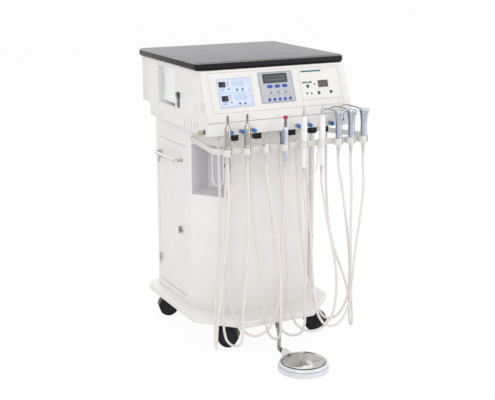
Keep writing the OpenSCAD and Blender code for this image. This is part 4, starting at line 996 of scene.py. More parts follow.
class CART_OT_worktop(bpy.types.Operator):
    """Dark laminated slab with a rounded edge band and a painted highlight line along the edge"""
    bl_idname = "cart.worktop"
    bl_label = "Worktop"

    def execute(self, context):
        x, y = SLAB_HALF
        slab = block((-x, -y, SLAB_UNDER), (x, y, SLAB_TOP), 16, 6,
                     lambda a, b: abs(a.z - b.z) > 20)
        round_edges(slab, sizes().slab_edge / MM, 6, lambda a, b: (
            abs(a.z - b.z) < 1 and (a.z > SLAB_TOP - 1 or a.z < SLAB_UNDER + 1)))
        coated(slab, "worktop_dark")
        touched(slab, "edge_band", lambda c, n: n.z < 0.94)
        # The bevel faces that tilt halfway up get the painted highlight
        touched(slab, "edge_line", lambda c, n: 0.55 < n.z < 0.80)
        hand_in(slab, "worktop_slab", "worktop_dark", BODY, "table_top", angle=40)
        return {"FINISHED"}


class CART_OT_housing(bpy.types.Operator):
    """Folded housing with its vents, the side pocket and the rocker switch"""
    bl_idname = "cart.housing"
    bl_label = "Housing"

    def execute(self, context):
        shell = coated(remade("housing_shell", sizes().sheet_edge / MM), "ivory_paint")
        hand_in(shell, "housing_cover", "ivory_paint", BODY, "housing_shell")
        self.pocket()
        self.rocker()
        self.inlet()
        return {"FINISHED"}

    def pocket(self):
        """Open tray with a raised lip and its notched plate; the inside and the plate are a lighter white,
        partly painted light against the pocket's shade.
        """
        x0, y, z, l, h = -HOUSE_SIDE, 10, 962, 160, 142
        tray = block((x0 - 1.5, y - l / 2 - 4, z - h / 2 - 4), (x0, y + l / 2 + 4, z + h / 2 + 4),
                     4, 5, lambda a, b: abs(a.x - b.x) > 1)
        round_edges(tray, 0.7, 2, lambda a, b: a.x < x0 - 1 and b.x < x0 - 1)
        body = block((x0, y - l / 2, z - h / 2), (x0 + 40, y + l / 2, z + h / 2))
        cut(tray, block((x0 - 9, y - 78, z - 69), (x0 + 5, y + 78, z + 69)))
        cut(body, block((x0 - 9, y - 78, z - 69), (x0 + 38, y + 78, z + 69), 5, 4,
                        lambda a, b: min(a.x, b.x) > x0 - 20))
        plate = block((x0 + 6, y - 80, z - 57), (x0 + 9, 62, z + 71))
        cut(plate, turned([(150, -40), (150, 40)], at(x0, 62 + 134, z + 6) @ turn(90, "Y"), 96))
        round_edges(plate, 0.8, 2, lambda a, b: a.x < x0 + 6.5 and b.x < x0 + 6.5 and a.y > -60)
        liner = joined(coated(tray, "white_plastic"), coated(body, "pocket_lit_white"),
                       coated(plate, "pocket_lit_white"))
        hand_in(liner, "pocket_insert", "white_plastic", BODY, "pocket_liner")

    def rocker(self):
        """Tilted rocker with a saddle face between its pivots."""
        tilt = at(-284, -93, 924) @ turn(-8, "Y")
        bow = 58 / 2 + 6
        face = block((-10, -13, -26), (1, 13, 26))
        cut(face, turned([(bow, -14), (bow, 14)], at(-10 - bow + 2.2, 0, 0) @ turn(90, "X"), 96))
        round_edges(face, 0.9, 2, lambda a, b: (
            abs(a.y) > 12.9 and abs(b.y) > 12.9 and max(a.x, b.x) < 0.5))
        pivot = turned([(3.2, -13), (3.5, -12.6), (3.5, 12.6), (3.2, 13)], turn(90, "X"), 24)
        pins = turned([(1.6, -14.3), (2, -13.8), (2, 13.8), (1.6, 14.3)], turn(90, "X"), 24)
        dots = turned([(2.0, 0), (2.0, 0.3), (1.5, 0.5)], at(-8.4, 0, 15) @ turn(-90, "Y"), 24)
        rocker = joined(coated(face, "black_plastic"), coated(pivot, "black_plastic"),
                        coated(pins, "black_plastic"), coated(dots, "keypad_white"))
        touched(rocker, "rocker_teal", lambda c, n: n.x < -0.75 and abs(c.y) < 12)
        placed(rocker, tilt)
        hand_in(rocker, "rocker_key", "black_plastic", "rocker", "rocker_switch")

    def inlet(self):
        """Recessed mains inlet with its three blades, at the rear."""
        x, y, z = 150, 250, 940
        cup = block((x, y - 26, z), (x + 48, y, z + 28), 3, 3, lambda a, b: abs(a.y - b.y) > 20)
        cut(cup, block((x + 8, y - 20, z + 4), (x + 40, y + 5, z + 24), 4, 4,
                       lambda a, b: abs(a.y - b.y) > 20))
        pieces = [coated(cup, "black_plastic")]
        for dx, dz in ((14, 12), (24, 16), (34, 12)):
            blade = block((x + dx - 1, y - 21, z + dz - 2.5), (x + dx + 1, y - 5, z + dz + 2.5),
                          0.4, 1)
            pieces.append(coated(blade, "fitting_chrome"))
        hand_in(joined(*pieces), "mains_inlet", "black_plastic", BODY)


# ---------- control panel ----------

# The panel's face runs from under the slab down and out to its foot
PANEL_TOP_Y = -281
PANEL_FOOT_Y = -349
PANEL_FOOT_Z = 876
LEAN = math.degrees(math.atan2(PANEL_TOP_Y - PANEL_FOOT_Y, SLAB_UNDER - PANEL_FOOT_Z))
PANEL = at(0, PANEL_TOP_Y, SLAB_UNDER) @ turn(-LEAN, "X")
# Limits of the three modules: left, right, and their distances down the face
LEFT_MODULE = (-235, -100, 30, 134)
CENTRE_MODULE = (-72, 67, 16, 130)
RIGHT_MODULE = (92, 258, 14, 130)
# Segments of the figures that the displays show, and how far out they stand
SEGMENTS = {2: "abged", 3: "abgcd", 5: "afgcd"}
FIGURE_OUT = 1.85


def on_panel(obj):
    """Moves a piece made on an upright face at the origin onto the leaning one."""
    return placed(obj, PANEL)


def outer_rim(high):
    """Test for the edges round the outer face of a panel piece."""
    return lambda a, b: a.y < -high + 0.01 and b.y < -high + 0.01


def film(x0, x1, down0, down1, low, high, radius, name, edge=0.0):
    """A plate with a rounded outline on the panel, standing from low to high out of its face."""
    plate = prism(rounded_outline(x0, x1, -down1, -down0, radius), -high, -low, "Y")
    if edge:
        round_edges(plate, edge, 2, outer_rim(high))
    return coated(plate, name)


def module_films(limits, face, edge, rim, rim_out, inset, face_out, radius):
    """A module's plate, its printed rim and the film inside the rim."""
    x0, x1, down0, down1 = limits
    return [film(x0, x1, down0, down1, -6, 1, 4, face, edge),
            film(x0 + 3, x1 - 3, down0 + 3, down1 - 3, 1, rim_out, 3, rim),
            film(x0 + inset, x1 - inset, down0 + inset, down1 - inset, 1, face_out, radius, face)]


def dot(x, down, radius, low, high, name, crown=0.35):
    """A small round key or lens with a crowned face."""
    profile = [(radius, low), (radius, high - crown), (radius * 0.86, high - crown * 0.3),
               (radius * 0.45, high)]
    return coated(turned(profile, at(x, 0, -down) @ turn(90, "X"), 24), name)


def long_key(x, down, half, radius, low, high, name):
    """A key with round ends and a softened rim."""
    outline = rounded_outline(x - half - radius, x + half + radius, -down - radius, -down + radius,
                              radius - 0.05, 7)
    key = prism(outline, -high, -low, "Y")
    return coated(round_edges(key, 0.9, 3, outer_rim(high)), name)


def digit(value, x, down, high, name):
    """A seven-segment figure, whose lower left corner is at x and down."""
    wide, bar, mid = high * 0.5, high * 0.11, high / 2
    boxes = {
        "a": (0, wide, high - bar, high), "g": (0, wide, mid - bar / 2, mid + bar / 2),
        "d": (0, wide, 0, bar), "f": (0, bar, mid, high), "e": (0, bar, 0, mid),
        "b": (wide - bar, wide, mid, high), "c": (wide - bar, wide, 0, mid)}
    pieces = []
    for segment in SEGMENTS[value]:
        x0, x1, z0, z1 = boxes[segment]
        pieces.append(coated(block((x + x0, -FIGURE_OUT, -down + z0),
                                   (x + x1, -FIGURE_OUT + 0.3, -down + z1)), name))
    return pieces


class CART_OT_panel(bpy.types.Operator):
    """Leaning front panel with its three modules, screens and keys"""
    bl_idname = "cart.panel"
    bl_label = "Control panel"

    def execute(self, context):
        self.bezel()
        self.left_module()
        self.centre_module()
        self.right_module()
        self.screens()
        self.keys()
        return {"FINISHED"}

    def bezel(self):
        """Leaning moulding with three windows and a shallow frame line, whose groove is darkened with
        painted shade.
        """
        run = 14 / math.cos(math.radians(LEAN))
        profile = [(PANEL_TOP_Y, SLAB_UNDER), (PANEL_FOOT_Y, PANEL_FOOT_Z),
                   (PANEL_FOOT_Y + run, PANEL_FOOT_Z), (PANEL_TOP_Y + run, SLAB_UNDER)]
        panel = prism(profile, -HOUSE_SIDE, HOUSE_SIDE, "X")
        flat = PANEL.inverted()

        def depth(p):
            return (flat @ (p * MM)).y / MM

        round_edges(panel, 2.6, 4, lambda a, b: (
            abs(a.x - b.x) < 1 and abs(a.x) > HOUSE_SIDE - 1 and max(depth(a), depth(b)) < 2
            or abs(a.x - b.x) > 500 and a.y < PANEL_FOOT_Y + 1 and a.z < PANEL_FOOT_Z + 1))
        for x0, x1, down0, down1 in (LEFT_MODULE, CENTRE_MODULE, RIGHT_MODULE):
            window_outline = rounded_outline(x0 - 0.3, x1 + 0.3, -down1 - 0.3, -down0 + 0.3, 4.3)
            cut(panel, on_panel(prism(window_outline, -6, 30, "Y")))
        groove = prism(rounded_outline(-265, 265, -153, -7, 7), -2, 0.9, "Y")
        cut(groove, prism(rounded_outline(-262.6, 262.6, -150.6, -9.4, 5), -4, 4, "Y"))
        cut(panel, on_panel(groove))
        coated(panel, "panel_ivory")
        # The groove's faces are darker: painted shade
        touched(panel, "panel_shaded_groove",
                lambda c, n: abs(c.x) < 270 and c.z > 880 and 0.3 < depth(c) < 1.0)
        hand_in(panel, "panel_moulding", "panel_ivory", BODY, "control_bezel", angle=28)

    def left_module(self):
        """Pale blue film with two alike rows of print, lenses and small keys."""
        x0, x1 = LEFT_MODULE[:2]
        pieces = module_films(LEFT_MODULE, "keypad_blue", 0.4, "keypad_white", 1.12, 4, 1.2, 2.6)
        for row in (0, 1):
            base, shift = 36 + 48 * row, 3 * row
            pieces.append(film(x0 + 7, x1 - 7, base, base + 43, 1.2, 1.3, 3, "keypad_white"))
            pieces.append(film(-180 + shift, -128 + shift, base + 3, base + 25, 1.3, 1.4, 10,
                               "keypad_blue"))
            for name, down in (("lamp_green", 7), ("lamp_blue", 14), ("lamp_amber", 21)):
                pieces.append(coated(block((-197 + shift, -1.9, -base - down - 1.7),
                                           (-190 + shift, -1.3, -base - down + 1.7), 0.3, 1), name))
            pieces.append(dot(-192 + shift, base + 32, 2.8, 1.2, 2.4, "key_blue"))
            for down in (29, 35):
                pieces.append(film(-226 + shift, -208 + shift, base + down, base + down + 2.6,
                                   1.3, 1.4, 0.8, "keypad_ink"))
        for x, down in ((-116, 48), (-115, 72), (-113, 98), (-111, 123)):
            pieces.append(dot(x, down, 2.0, 1.2, 2.1, "lamp_violet"))
        hand_in(on_panel(joined(*pieces)), "left_module", "keypad_blue", BODY, "left_keypad")

    def centre_module(self):
        """Grey module with a rim, a raised screen frame and three rows of keys."""
        pieces = module_films(CENTRE_MODULE, "keypad_grey", 0.5, "keypad_rim", 1.15, 4.4, 1.25, 2.4)
        frame_line = film(-5 - 49, -5 + 49, 24, 58, 1.2, 2.6, 3, "display_frame", 0.7)
        cut(frame_line, prism(rounded_outline(-5 - 45.2, -5 + 45.2, -54.2, -27.8, 1.5), -8, 8, "Y"))
        pieces.append(coated(frame_line, "display_frame"))
        for k in range(-2, 3):
            x = 2 + k * 21
            pieces.append(film(x - 4, x + 4, 102, 103.6, 1.2, 1.4, 0.7, "keypad_rim"))
        hand_in(on_panel(joined(*pieces)), "centre_face", "keypad_grey", BODY, "centre_module")

    def right_module(self):
        """Cream module with a plain teal stripe, lenses and a timer window."""
        pieces = module_films(RIGHT_MODULE, "keypad_cream", 0.5, "keypad_grey", 1.15, 4, 1.25, 2.6)
        pieces.append(film(103, 187, 21.5, 27, 1.2, 1.45, 1, "key_teal"))
        for x in (107, 115, 123, 131, 139):
            pieces.append(dot(x, 65, 3.6, 1.2, 1.9, "lamp_green" if x == 123 else "key_dark"))
        pieces.append(dot(152, 73, 3.2, 1.2, 2.1, "key_dark"))
        for x, down in ((116, 105), (134, 106)):
            pieces.append(dot(x, down, 3.4, 1.2, 2.4, "key_dark"))
        hand_in(on_panel(joined(*pieces)), "right_face", "keypad_cream", BODY, "right_module")

    def screens(self):
        """Dark windows with segment figures behind the glass."""
        pieces = []
        for x, down, wide, high, name in (
                (-5, 41, 45, 13, "display_dark"), (188, 73, 21, 13, "display_grey"),
                (-215, 51, 13, 10, "display_black"), (-212, 101, 13, 10, "display_black")):
            pieces.append(film(x - wide, x + wide, down - high, down + high, -4, 1.7, 1.2, name, 0.3))
            pieces.append(film(x - wide - 3, x + wide + 3, down - high - 3, down + high + 3,
                               -7, -5.1, 1, "display_frame"))
        for value, x in ((2, 172), (5, 189)):
            pieces += digit(value, x, 81, 16, "digit_pale")
        for row, value in ((0, 3), (1, 2)):
            pieces += digit(value, -214 + row * 3, 57 + 50 * row, 12, "digit_glow")
        for row in (0, 1):
            for k in range(9):
                pieces.append(coated(block((-44 + 9 * k, -FIGURE_OUT, -36 - 11 * row),
                                           (-39 + 9 * k, -1.6, -33 - 11 * row)), "digit_pale"))
        hand_in(on_panel(joined(*pieces)), "display_glass", "display_dark", BODY, "display_windows")

    def keys(self):
        """Round and long keys with crowned caps."""
        pieces = [long_key(30 * k, 70, 5, 6, -3, 2.4, "key_blue") for k in (-1, 0, 1)]
        pieces += [dot(30 * k, 93, 5, -3, 2.6, "key_grey", 0.8) for k in (-1, 0, 1)]
        pieces += [dot(2 + 21 * k, 117.5, 6, -3, 2.8, "key_blue", 0.9) for k in range(-2, 3)]
        pieces += [dot(-160 + 21 * k + 2 * row, 72 + 50 * row, 4, -3, 2.6, "key_blue", 0.8)
                   for row in (0, 1) for k in (0, 1)]
        pieces += [dot(x, down, 6.5, -3, 2.8, "key_teal", 0.9)
                   for x, down in ((123, 79), (165, 106), (216, 105))]
        hand_in(on_panel(joined(*pieces)), "key_caps", "key_blue", BODY, "soft_keys")


# ---------- valve strip and fittings ----------

VALVE_X = (-214, -169, -124, 56, 101, 191)
VALVE_Z = 844
STRIP_FRONT = 352


class CART_OT_valves(bpy.types.Operator):
    """White strip with its needle valves, blue knobs, black valve blocks and side coupler"""
    bl_idname = "cart.valves"
    bl_label = "Valve strip"

    def execute(self, context):
        strip = block((-HOUSE_SIDE, -STRIP_FRONT, HOUSE_Z), (HOUSE_SIDE, -STRIP_FRONT + 6, 875.7),
                      1.9, 4, lambda a, b: abs(a.x - b.x) > 500 and a.y < -STRIP_FRONT + 1)
        round_edges(strip, 1.0, 2, lambda a, b: abs(a.x) > 290.9 and abs(b.x) > 290.9 and a.y < -347)
        coated(strip, "strip_white")
        # The strip's top face is grey: painted shade for the gap under the panel
        touched(strip, "seam_shade_paint", lambda c, n: n.z > 0.5)
        hand_in(strip, "valve_strip_plate", "strip_white", BODY, "valve_strip")
        self.valves()
        for k, x in enumerate(VALVE_X):
            self.knob(k + 1, x)
        self.blocks()
        self.coupler()
        return {"FINISHED"}

    def valves(self):
        """Hexagon nut, stepped barrel and stem, six times along the strip."""
        nut = turned([(7.2, 0), (8, 0.7), (8, 3.3), (7.2, 4)], None, 6)
        body = turned([(5.5, -11), (5.5, 6), (4.9, 6.3), (4.9, 7.3), (5.5, 7.6), (5.5, 10.8),
                       (4.4, 12)])
        stem = turned([(3, 10), (3, 24.6), (2.4, 25.3)], None, 24)
        first = joined(coated(nut, "valve_brass"), coated(body, "valve_brass"),
                       coated(stem, "knob_blue"))
        placed(first, at(VALVE_X[0], -STRIP_FRONT, VALVE_Z) @ turn(90, "X"))
        others = [copied(first, at(x - VALVE_X[0], 0, 0)) for x in VALVE_X[1:]]
        hand_in(joined(first, *others), "needle_valve_row", "valve_brass", BODY, "needle_valves")

    def knob(self, number, x):
        """Anodised knob with cut flutes and a crowned end."""
        knob = turned([(5.9, 0), (6.7, 0.6), (7.5, 1.2), (7.5, 10.8), (7.3, 11.6), (6.7, 12.3),
                       (5.2, 12.8), (4.2, 12.8), (4.0, 12.4), (3.06, 12.4)])
        cut(knob, turned([(3.05, -1), (3.05, 14)], None, 32),
            *[turned([(1.2, 3), (1.2, 16)], at(8.0 * math.cos(a), 8.0 * math.sin(a), 0), 12)
              for a in (math.radians(30 * k) for k in range(12))])
        coated(knob, "knob_blue")
        placed(knob, at(x, -STRIP_FRONT - 12.3, VALVE_Z) @ turn(90, "X"))
        hand_in(knob, f"blue_knob_{number}", "knob_blue", f"knob_{number}", f"flow_knob_{number}")

    def blocks(self):
        """Black pilot valves under the housing, with their plungers, and one round button."""
        pieces = []
        y0 = -STRIP_FRONT + 7
        for x, wide in ((-185, 24), (-96, 28), (42, 28), (129, 30), (184, 18)):
            body = block((x - wide / 2, y0, HOUSE_Z - 22), (x + wide / 2, y0 + 24, HOUSE_Z), 1.4, 3,
                         lambda a, b: a.z < HOUSE_Z - 1 or b.z < HOUSE_Z - 1)
            foot = turned([(4.4, -24.5), (5, -24), (5, -21)], at(x, y0 + 12, HOUSE_Z), 24)
            pin = turned([(2.4, -30), (3, -29.4), (3, -22)], at(x, y0 + 12, HOUSE_Z), 24)
            pieces += [coated(body, "black_plastic"), coated(foot, "fitting_chrome"),
                       coated(pin, "fitting_chrome")]
            for side in (-1, 1):
                place = at(x + side * (wide / 2 - 4.5), y0, HOUSE_Z - 6) @ turn(90, "X")
                screw = turned([(2.2, 0), (2.2, 0.9), (1.8, 1.2)], place, 16)
                pieces.append(coated(screw, "castor_hub"))
        button = turned([(7.5, 0), (7.5, 1.6), (6.6, 2), (6.6, 7.2), (6.2, 8.3), (5, 9), (2, 9)],
                        at(243, -STRIP_FRONT, VALVE_Z + 9) @ turn(90, "X"))
        pieces.append(coated(button, "black_plastic"))
        hand_in(joined(*pieces), "pilot_valves", "black_plastic", BODY, "holder_switches")

    def coupler(self):
        """Side coupler with a knurled sleeve, and the regulator in the open compartment."""
        nut = turned([(8.2, 0), (9, 0.8), (9, 3.2), (8.2, 4)], None, 6)
        neck = turned([(6.5, 3), (6.5, 6.5)], None, 32)
        collar = turned([(7.4, 6), (8.2, 6.6), (8.2, 18.6), (7.2, 19.6), (5.4, 20), (5, 20.2), (5, 23.2),
                         (4.2, 24), (2.6, 24)], None, 48)
        lime = turned([(8.2, 14), (8.5, 14.3), (8.5, 18.4), (8.2, 18.8)], None, 48)
        side = joined(coated(nut, "coupler_dark"), coated(neck, "coupler_dark"),
                      coated(collar, "coupler_pale"), coated(lime, "ring_lime"))
        placed(side, at(-HOUSE_SIDE, -316, 842) @ turn(-90, "Y"))
        niche = (at(NICHE_FACE.x, NICHE_FACE.y, NICHE_FLOOR)
                 @ turn(-math.degrees(NICHE_ANGLE), "Z") @ at(20, 135, 94))
        pipe = placed(turned([(6, 0), (6, 30)], None, 24), niche @ turn(90, "X"))
        upright = niche @ at(0, -30, 0)
        body = placed(turned([(6, -30), (7, -29), (7, -19), (9.5, -18.4), (11, -17), (11, 16.5),
                              (10, 18), (8, 18.4), (8, 28), (11, 28), (12, 29), (12, 48), (11, 50),
                              (8, 50)]), upright)
        ring = placed(turned([(12.05, 35), (12.3, 35.4), (12.3, 37.6), (12.05, 38)]), upright)
        dial = placed(turned([(8.5, 0), (9, 0.6), (9, 5), (8, 5.8), (7.4, 5.2)], None, 32),
                      niche @ at(0, -40, 4) @ turn(90, "X"))
        regulator = joined(coated(pipe, "fitting_chrome"), coated(body, "coupler_dark"),
                           coated(ring, "fitting_chrome"), coated(dial, "black_plastic"))
        hand_in(joined(side, regulator), "air_couplers", "coupler_dark", BODY, "air_fittings")


# ---------- rail and tools ----------

TOOL_Y = -404
HOLDER_TOP = 794
REST = HOLDER_TOP + 0.3
GLAND_X = (-230, -198, -166, -104, -40, 12, 84, 118, 212)


def tool_x(k):
    """Place of a tool along the rail: six at a wide pitch, then three close together."""
    return -244 + 75 * k if k < 6 else 201 + 53 * (k - 6)


def barrel(k, rows):
    """Turned stretches of one tool: each a finish, and its [radius, height] pairs from the holder."""
    return [coated(turned([(r, z + REST) for r, z in profile], at(tool_x(k), TOOL_Y, 0)), name)
            for name, profile in rows]


class CART_OT_rail(bpy.types.Operator):
    """Bent rail with its nine open holders, the glands and the spare coupling"""
    bl_idname = "cart.rail"
    bl_label = "Holder rail"

    def execute(self, context):
        # Rail and holders are a greyer white: partly their own plastic, partly painted shade
        rail = coated(remade("holder_rail", 0.9), "rail_grey_and_shade")
        hand_in(rail, "bent_rail", "white_plastic", BODY, "holder_rail")
        clips = coated(remade("tool_holders", 0.9), "rail_grey_and_shade")
        hand_in(clips, "open_holders", "white_plastic", BODY, "tool_holders")
        self.glands()
        return {"FINISHED"}

    def glands(self):
        """Hose glands under the housing, the spare coupling, and the foot hose's gland."""
        pieces = []
        for x in GLAND_X:
            neck = turned([(5, -20), (5.4, -19.6), (6.9, -5), (8.6, -4), (9, -3.4), (9, -0.8),
                           (8.4, 0), (6, 0), (6, 8.5)], at(x, -300, HOUSE_Z), 32)
            pieces.append(coated(neck, "fitting_chrome"))
        low, top = 752 - REST, 4
        pieces += barrel(2, [("fitting_chrome", [
            (4.4, low), (5, low + 0.6), (5, low + 13), (7.8, low + 18), (8.3, low + 19), (8.3, 0),
            (11.8, 0), (12.3, 0.6), (12.3, top - 0.6), (11.6, top), (8, top + 1.2),
            (4.2, top + 2.6)])])
        gland = turned([(8.5, -14), (9, -13.4), (10, -8), (12, -6), (12, -1), (11.4, 0)],
                       at(12, -298, 101), 32)
        pieces.append(coated(gland, "black_plastic"))
        hand_in(joined(*pieces), "hose_glands", "fitting_chrome", BODY, "hose_fittings")


class CART_OT_handpieces(bpy.types.Operator):
    """Two motors, the angled handpiece and two scalers, each a turned tool"""
    bl_idname = "cart.handpieces"
    bl_label = "Handpieces"

    def execute(self, context):
        low = 762 - REST
        for k in (0, 1):
            motor = barrel(k, [
                ("bright_steel", [
                    (5, low), (5.5, low + 0.6), (7, low + 3), (7, low + 12), (8.4, low + 15.4),
                    (8.5, low + 16), (8.5, 0)]),
                ("handpiece_steel", [
                    (8.5, -0.1), (11.2, 0), (11.8, 0.7), (11.8, 3.4), (11.6, 4.2), (11.1, 5.6),
                    (10.9, 6.4), (10.9, 13)]),
                ("steel_rings", [
                    (10.6, 12.9), (10.6, 13.4), (10.9, 13.8), (10.9, 43.4), (10.6, 43.8),
                    (10.6, 44.2)]),
                ("handpiece_steel", [
                    (10.9, 44), (10.9, 65.4), (10.6, 67), (9.8, 74.6), (9.2, 75.6), (8.3, 76.2),
                    (6.6, 82.6), (5.2, 85), (4.2, 86)]),
                ("steel_knurl", [(3.8, 85.9), (3.8, 100)]),
                ("tip_dark", [
                    (3.6, 99.9), (3.6, 100.6), (4, 101), (4, 111.6), (3.8, 112.6), (3.2, 116.6),
                    (2.6, 117)])])
            hand_in(joined(*motor), f"motor_tool_{k + 1}", "handpiece_steel", f"motor_{k + 1}",
                    f"motor_handpiece_{k + 1}")
        self.angled()
        for k in (4, 5):
            self.scaler(k)
        return {"FINISHED"}

    def angled(self):
        """Angled handpiece with its red cap and a lever along one side."""
        low = 718 - REST
        tool = barrel(3, [
            ("fitting_chrome", [(5, low), (5.5, low + 0.6), (6.5, low + 10)]),
            ("handpiece_silver", [(6.5, low + 10), (7.1, low + 22), (8.5, -32.3), (8.5, 0)]),
            ("bright_steel", [(8.5, -0.1), (11, 0), (11.5, 0.6), (11.5, 2.6), (11, 3.2), (9.4, 6)]),
            ("handpiece_silver", [
                (9.4, 5.9), (9.4, 18), (9.2, 18.2), (9.2, 19.4), (9.4, 19.6), (9.4, 38.4),
                (9.2, 38.6), (9.2, 39.8), (9.4, 40), (9.4, 53), (9.0, 55), (8, 58), (6.6, 59.4),
                (4.8, 60)]),
            ("tip_dark", [(4.6, 59.9), (4.6, 88)]),
            ("head_red", [
                (4.5, 87.9), (7.4, 88.6), (8, 89.2), (8, 96.4), (7.4, 97.4), (6.6, 99), (3, 99)])])
        x = tool_x(3)
        lever = block((x - 20, TOOL_Y - 7, REST + 0.6), (x - 8.6, TOOL_Y + 7, REST + 44), 2.4, 4)
        tool.append(coated(lever, "handpiece_blue"))
        rib = block((x - 20.5, TOOL_Y - 3, REST + 12), (x - 18, TOOL_Y + 3, REST + 34), 0.8, 2)
        tool.append(coated(rib, "handpiece_steel"))
        hand_in(joined(*tool), "angled_tool", "handpiece_blue", "endo", "endo_handpiece")

    def scaler(self, k):
        """White scaler with a flared collar, three finger rings and a fine tip."""
        low, wide = 696 - REST, 10
        tool = barrel(k, [
            ("fitting_chrome", [(5, low), (5.5, low + 0.6), (6.4, low + 3.4)]),
            ("handpiece_white", [
                (6.2, low + 3.2), (7.2, low + 6), (7.9, low + 24), (9.6, 770 - REST - 12),
                (wide, 770 - REST), (wide, -0.3), (10.4, 1), (11.4, 3.6), (11.6, 5), (11.6, 56),
                (11.3, 64), (10.7, 76), (10, 84), (8.6, 88.6), (6.6, 91.6)]),
            ("tip_lavender", [
                (6.3, 91.4), (6.3, 92), (6.0, 92.4), (6.0, 93), (6.4, 93.4), (6.4, 96), (4.6, 98),
                (4.2, 102), (3.3, 121), (2.8, 124), (2.2, 128), (1.4, 128.6)]),
            ("bright_steel", [(1.0, 128), (0.7, 131.5)])])
        for z in (16, 22, 28):
            tool += barrel(k, [("handpiece_white", [
                (11.55, z), (11.85, z + 0.4), (11.85, z + 1.2), (11.55, z + 1.6)])])
        hand_in(joined(*tool), f"scaler_tool_{k - 3}", "handpiece_white", f"scaler_{k - 3}",
                f"scaler_handpiece_{k - 3}")


# Each syringe's nozzle: the way that it points, and how much shorter than the first it is
NOZZLES = ((14, 30), (26, 12), (28, 0))
NOZZLE_RISE = 16
NOZZLE_TURN = 42
NOZZLE_ARC = 34
NOZZLE_LENGTH = 84


class CART_OT_syringes(bpy.types.Operator):
    """Three air syringes with flared heads, bent nozzles and thumb buttons"""
    bl_idname = "cart.syringes"
    bl_label = "Air syringes"

    def execute(self, context):
        for k, (heading, shorter) in enumerate(NOZZLES):
            self.syringe(k, heading, NOZZLE_LENGTH - shorter)
        return {"FINISHED"}

    def nozzle_line(self, reach):
        """Points of a nozzle: out and up, round a bend, and down to its mouth."""
        rise, fall = math.radians(NOZZLE_RISE), math.radians(NOZZLE_TURN - NOZZLE_RISE)
        run = reach * 0.7
        line = [Vector((run * t * math.cos(rise), 0, run * t * math.sin(rise)))
                for t in (0.12, 0.4, 0.7, 1)]
        centre = Vector((run * math.cos(rise), 0, run * math.sin(rise))) + NOZZLE_ARC * Vector(
            (math.sin(rise), 0, -math.cos(rise)))
        for j in range(1, 9):
            a = rise - (rise + fall) * j / 8
            line.append(centre + NOZZLE_ARC * Vector((-math.sin(a), 0, math.cos(a))))
        line.append(line[-1] + 9.6 * Vector((math.cos(fall), 0, -math.sin(fall))))
        return line

    def syringe(self, k, heading, reach):
        """One syringe: its turned body, the nozzle with its collar, and the button."""
        low = 750 - REST
        tool = barrel(6 + k, [
            ("fitting_chrome", [
                (5.4, low), (6, low + 0.6), (7.5, low + 5), (7.5, low + 9), (7.1, low + 9.4),
                (7.1, low + 10.4), (7.5, low + 10.8), (7.5, 766 - REST), (8, 770 - REST), (8, 0)]),
            ("syringe_metal", [(8, -0.1), (11.2, 0), (11.8, 0.6), (11.8, 12)]),
            ("syringe_rings", [
                (11.5, 11.9), (11.5, 12.2), (11.8, 12.6), (11.8, 36), (11.5, 36.4), (11.5, 36.8)]),
            ("syringe_metal", [
                (11.8, 36.6), (11.8, 48), (12.1, 54), (13, 64), (14.4, 74), (16.6, 86),
                (18.2, 91.5), (18.5, 92.5), (18.5, 98), (18.1, 98.9), (17.2, 99.7), (15.5, 100),
                (11, 100)])])
        x = tool_x(6 + k)
        cut(tool[-1], turned([(5.05, 0), (5.05, 20)],
                             at(x, TOOL_Y - 8, REST + 78) @ turn(90, "X"), 32))
        swing = at(x, TOOL_Y, REST + 96) @ turn(180 - heading, "Z")
        line = self.nozzle_line(reach)
        radii = [2.3] * 4 + [2.2] * 8 + [1.7]
        tube = swept([p * MM for p in line], [r * MM for r in radii], 16)
        placed(tube, swing)
        tool.append(coated(outward(tube), "nozzle_steel"))
        collar = turned([(4.6, 12), (5, 12.6), (5, 19), (4.4, 20.6), (3.2, 21.4), (2.35, 22)],
                        swing @ turn(90 - NOZZLE_RISE, "Y"), 24)
        tool.append(coated(collar, "syringe_metal"))
        rear = turned([(3.6, 0), (3.6, 1.4), (3, 2.2), (1.2, 2.5)], at(x, TOOL_Y, REST + 99.8), 24)
        tool.append(coated(rear, "bright_steel"))
        hand_in(joined(*tool), f"syringe_tool_{k + 1}", "syringe_metal", f"syringe_{k + 1}",
                f"air_syringe_{k + 1}")
        button = turned([(5, 0), (5, 8.6), (4.7, 9.4), (4, 10), (3.2, 9.7), (1.6, 9.5)],
                        at(x, TOOL_Y - 10.3, REST + 78) @ turn(90, "X"), 32)
        coated(button, "syringe_metal")
        hand_in(button, f"syringe_key_{k + 1}", "syringe_metal", f"button_{k + 1}",
                f"syringe_button_{k + 1}")


# ---------- cabinet ----------

CAB_SIDE = 255
LOCK_AT = (-CAB_SIDE, -27, 416)
# The open compartment in the cut corner: the middle of its mouth, its floor and the way it runs in
NICHE_FACE = Vector((-201, -173.5, 0))
NICHE_FLOOR = 572
NICHE_ANGLE = math.atan2(137, 108)


def lock_bore():
    """Cutter for the hole of the door's lock."""
    return turned([(8.05, -5), (8.05, 30)], at(*LOCK_AT) @ turn(90, "Y"), 48)


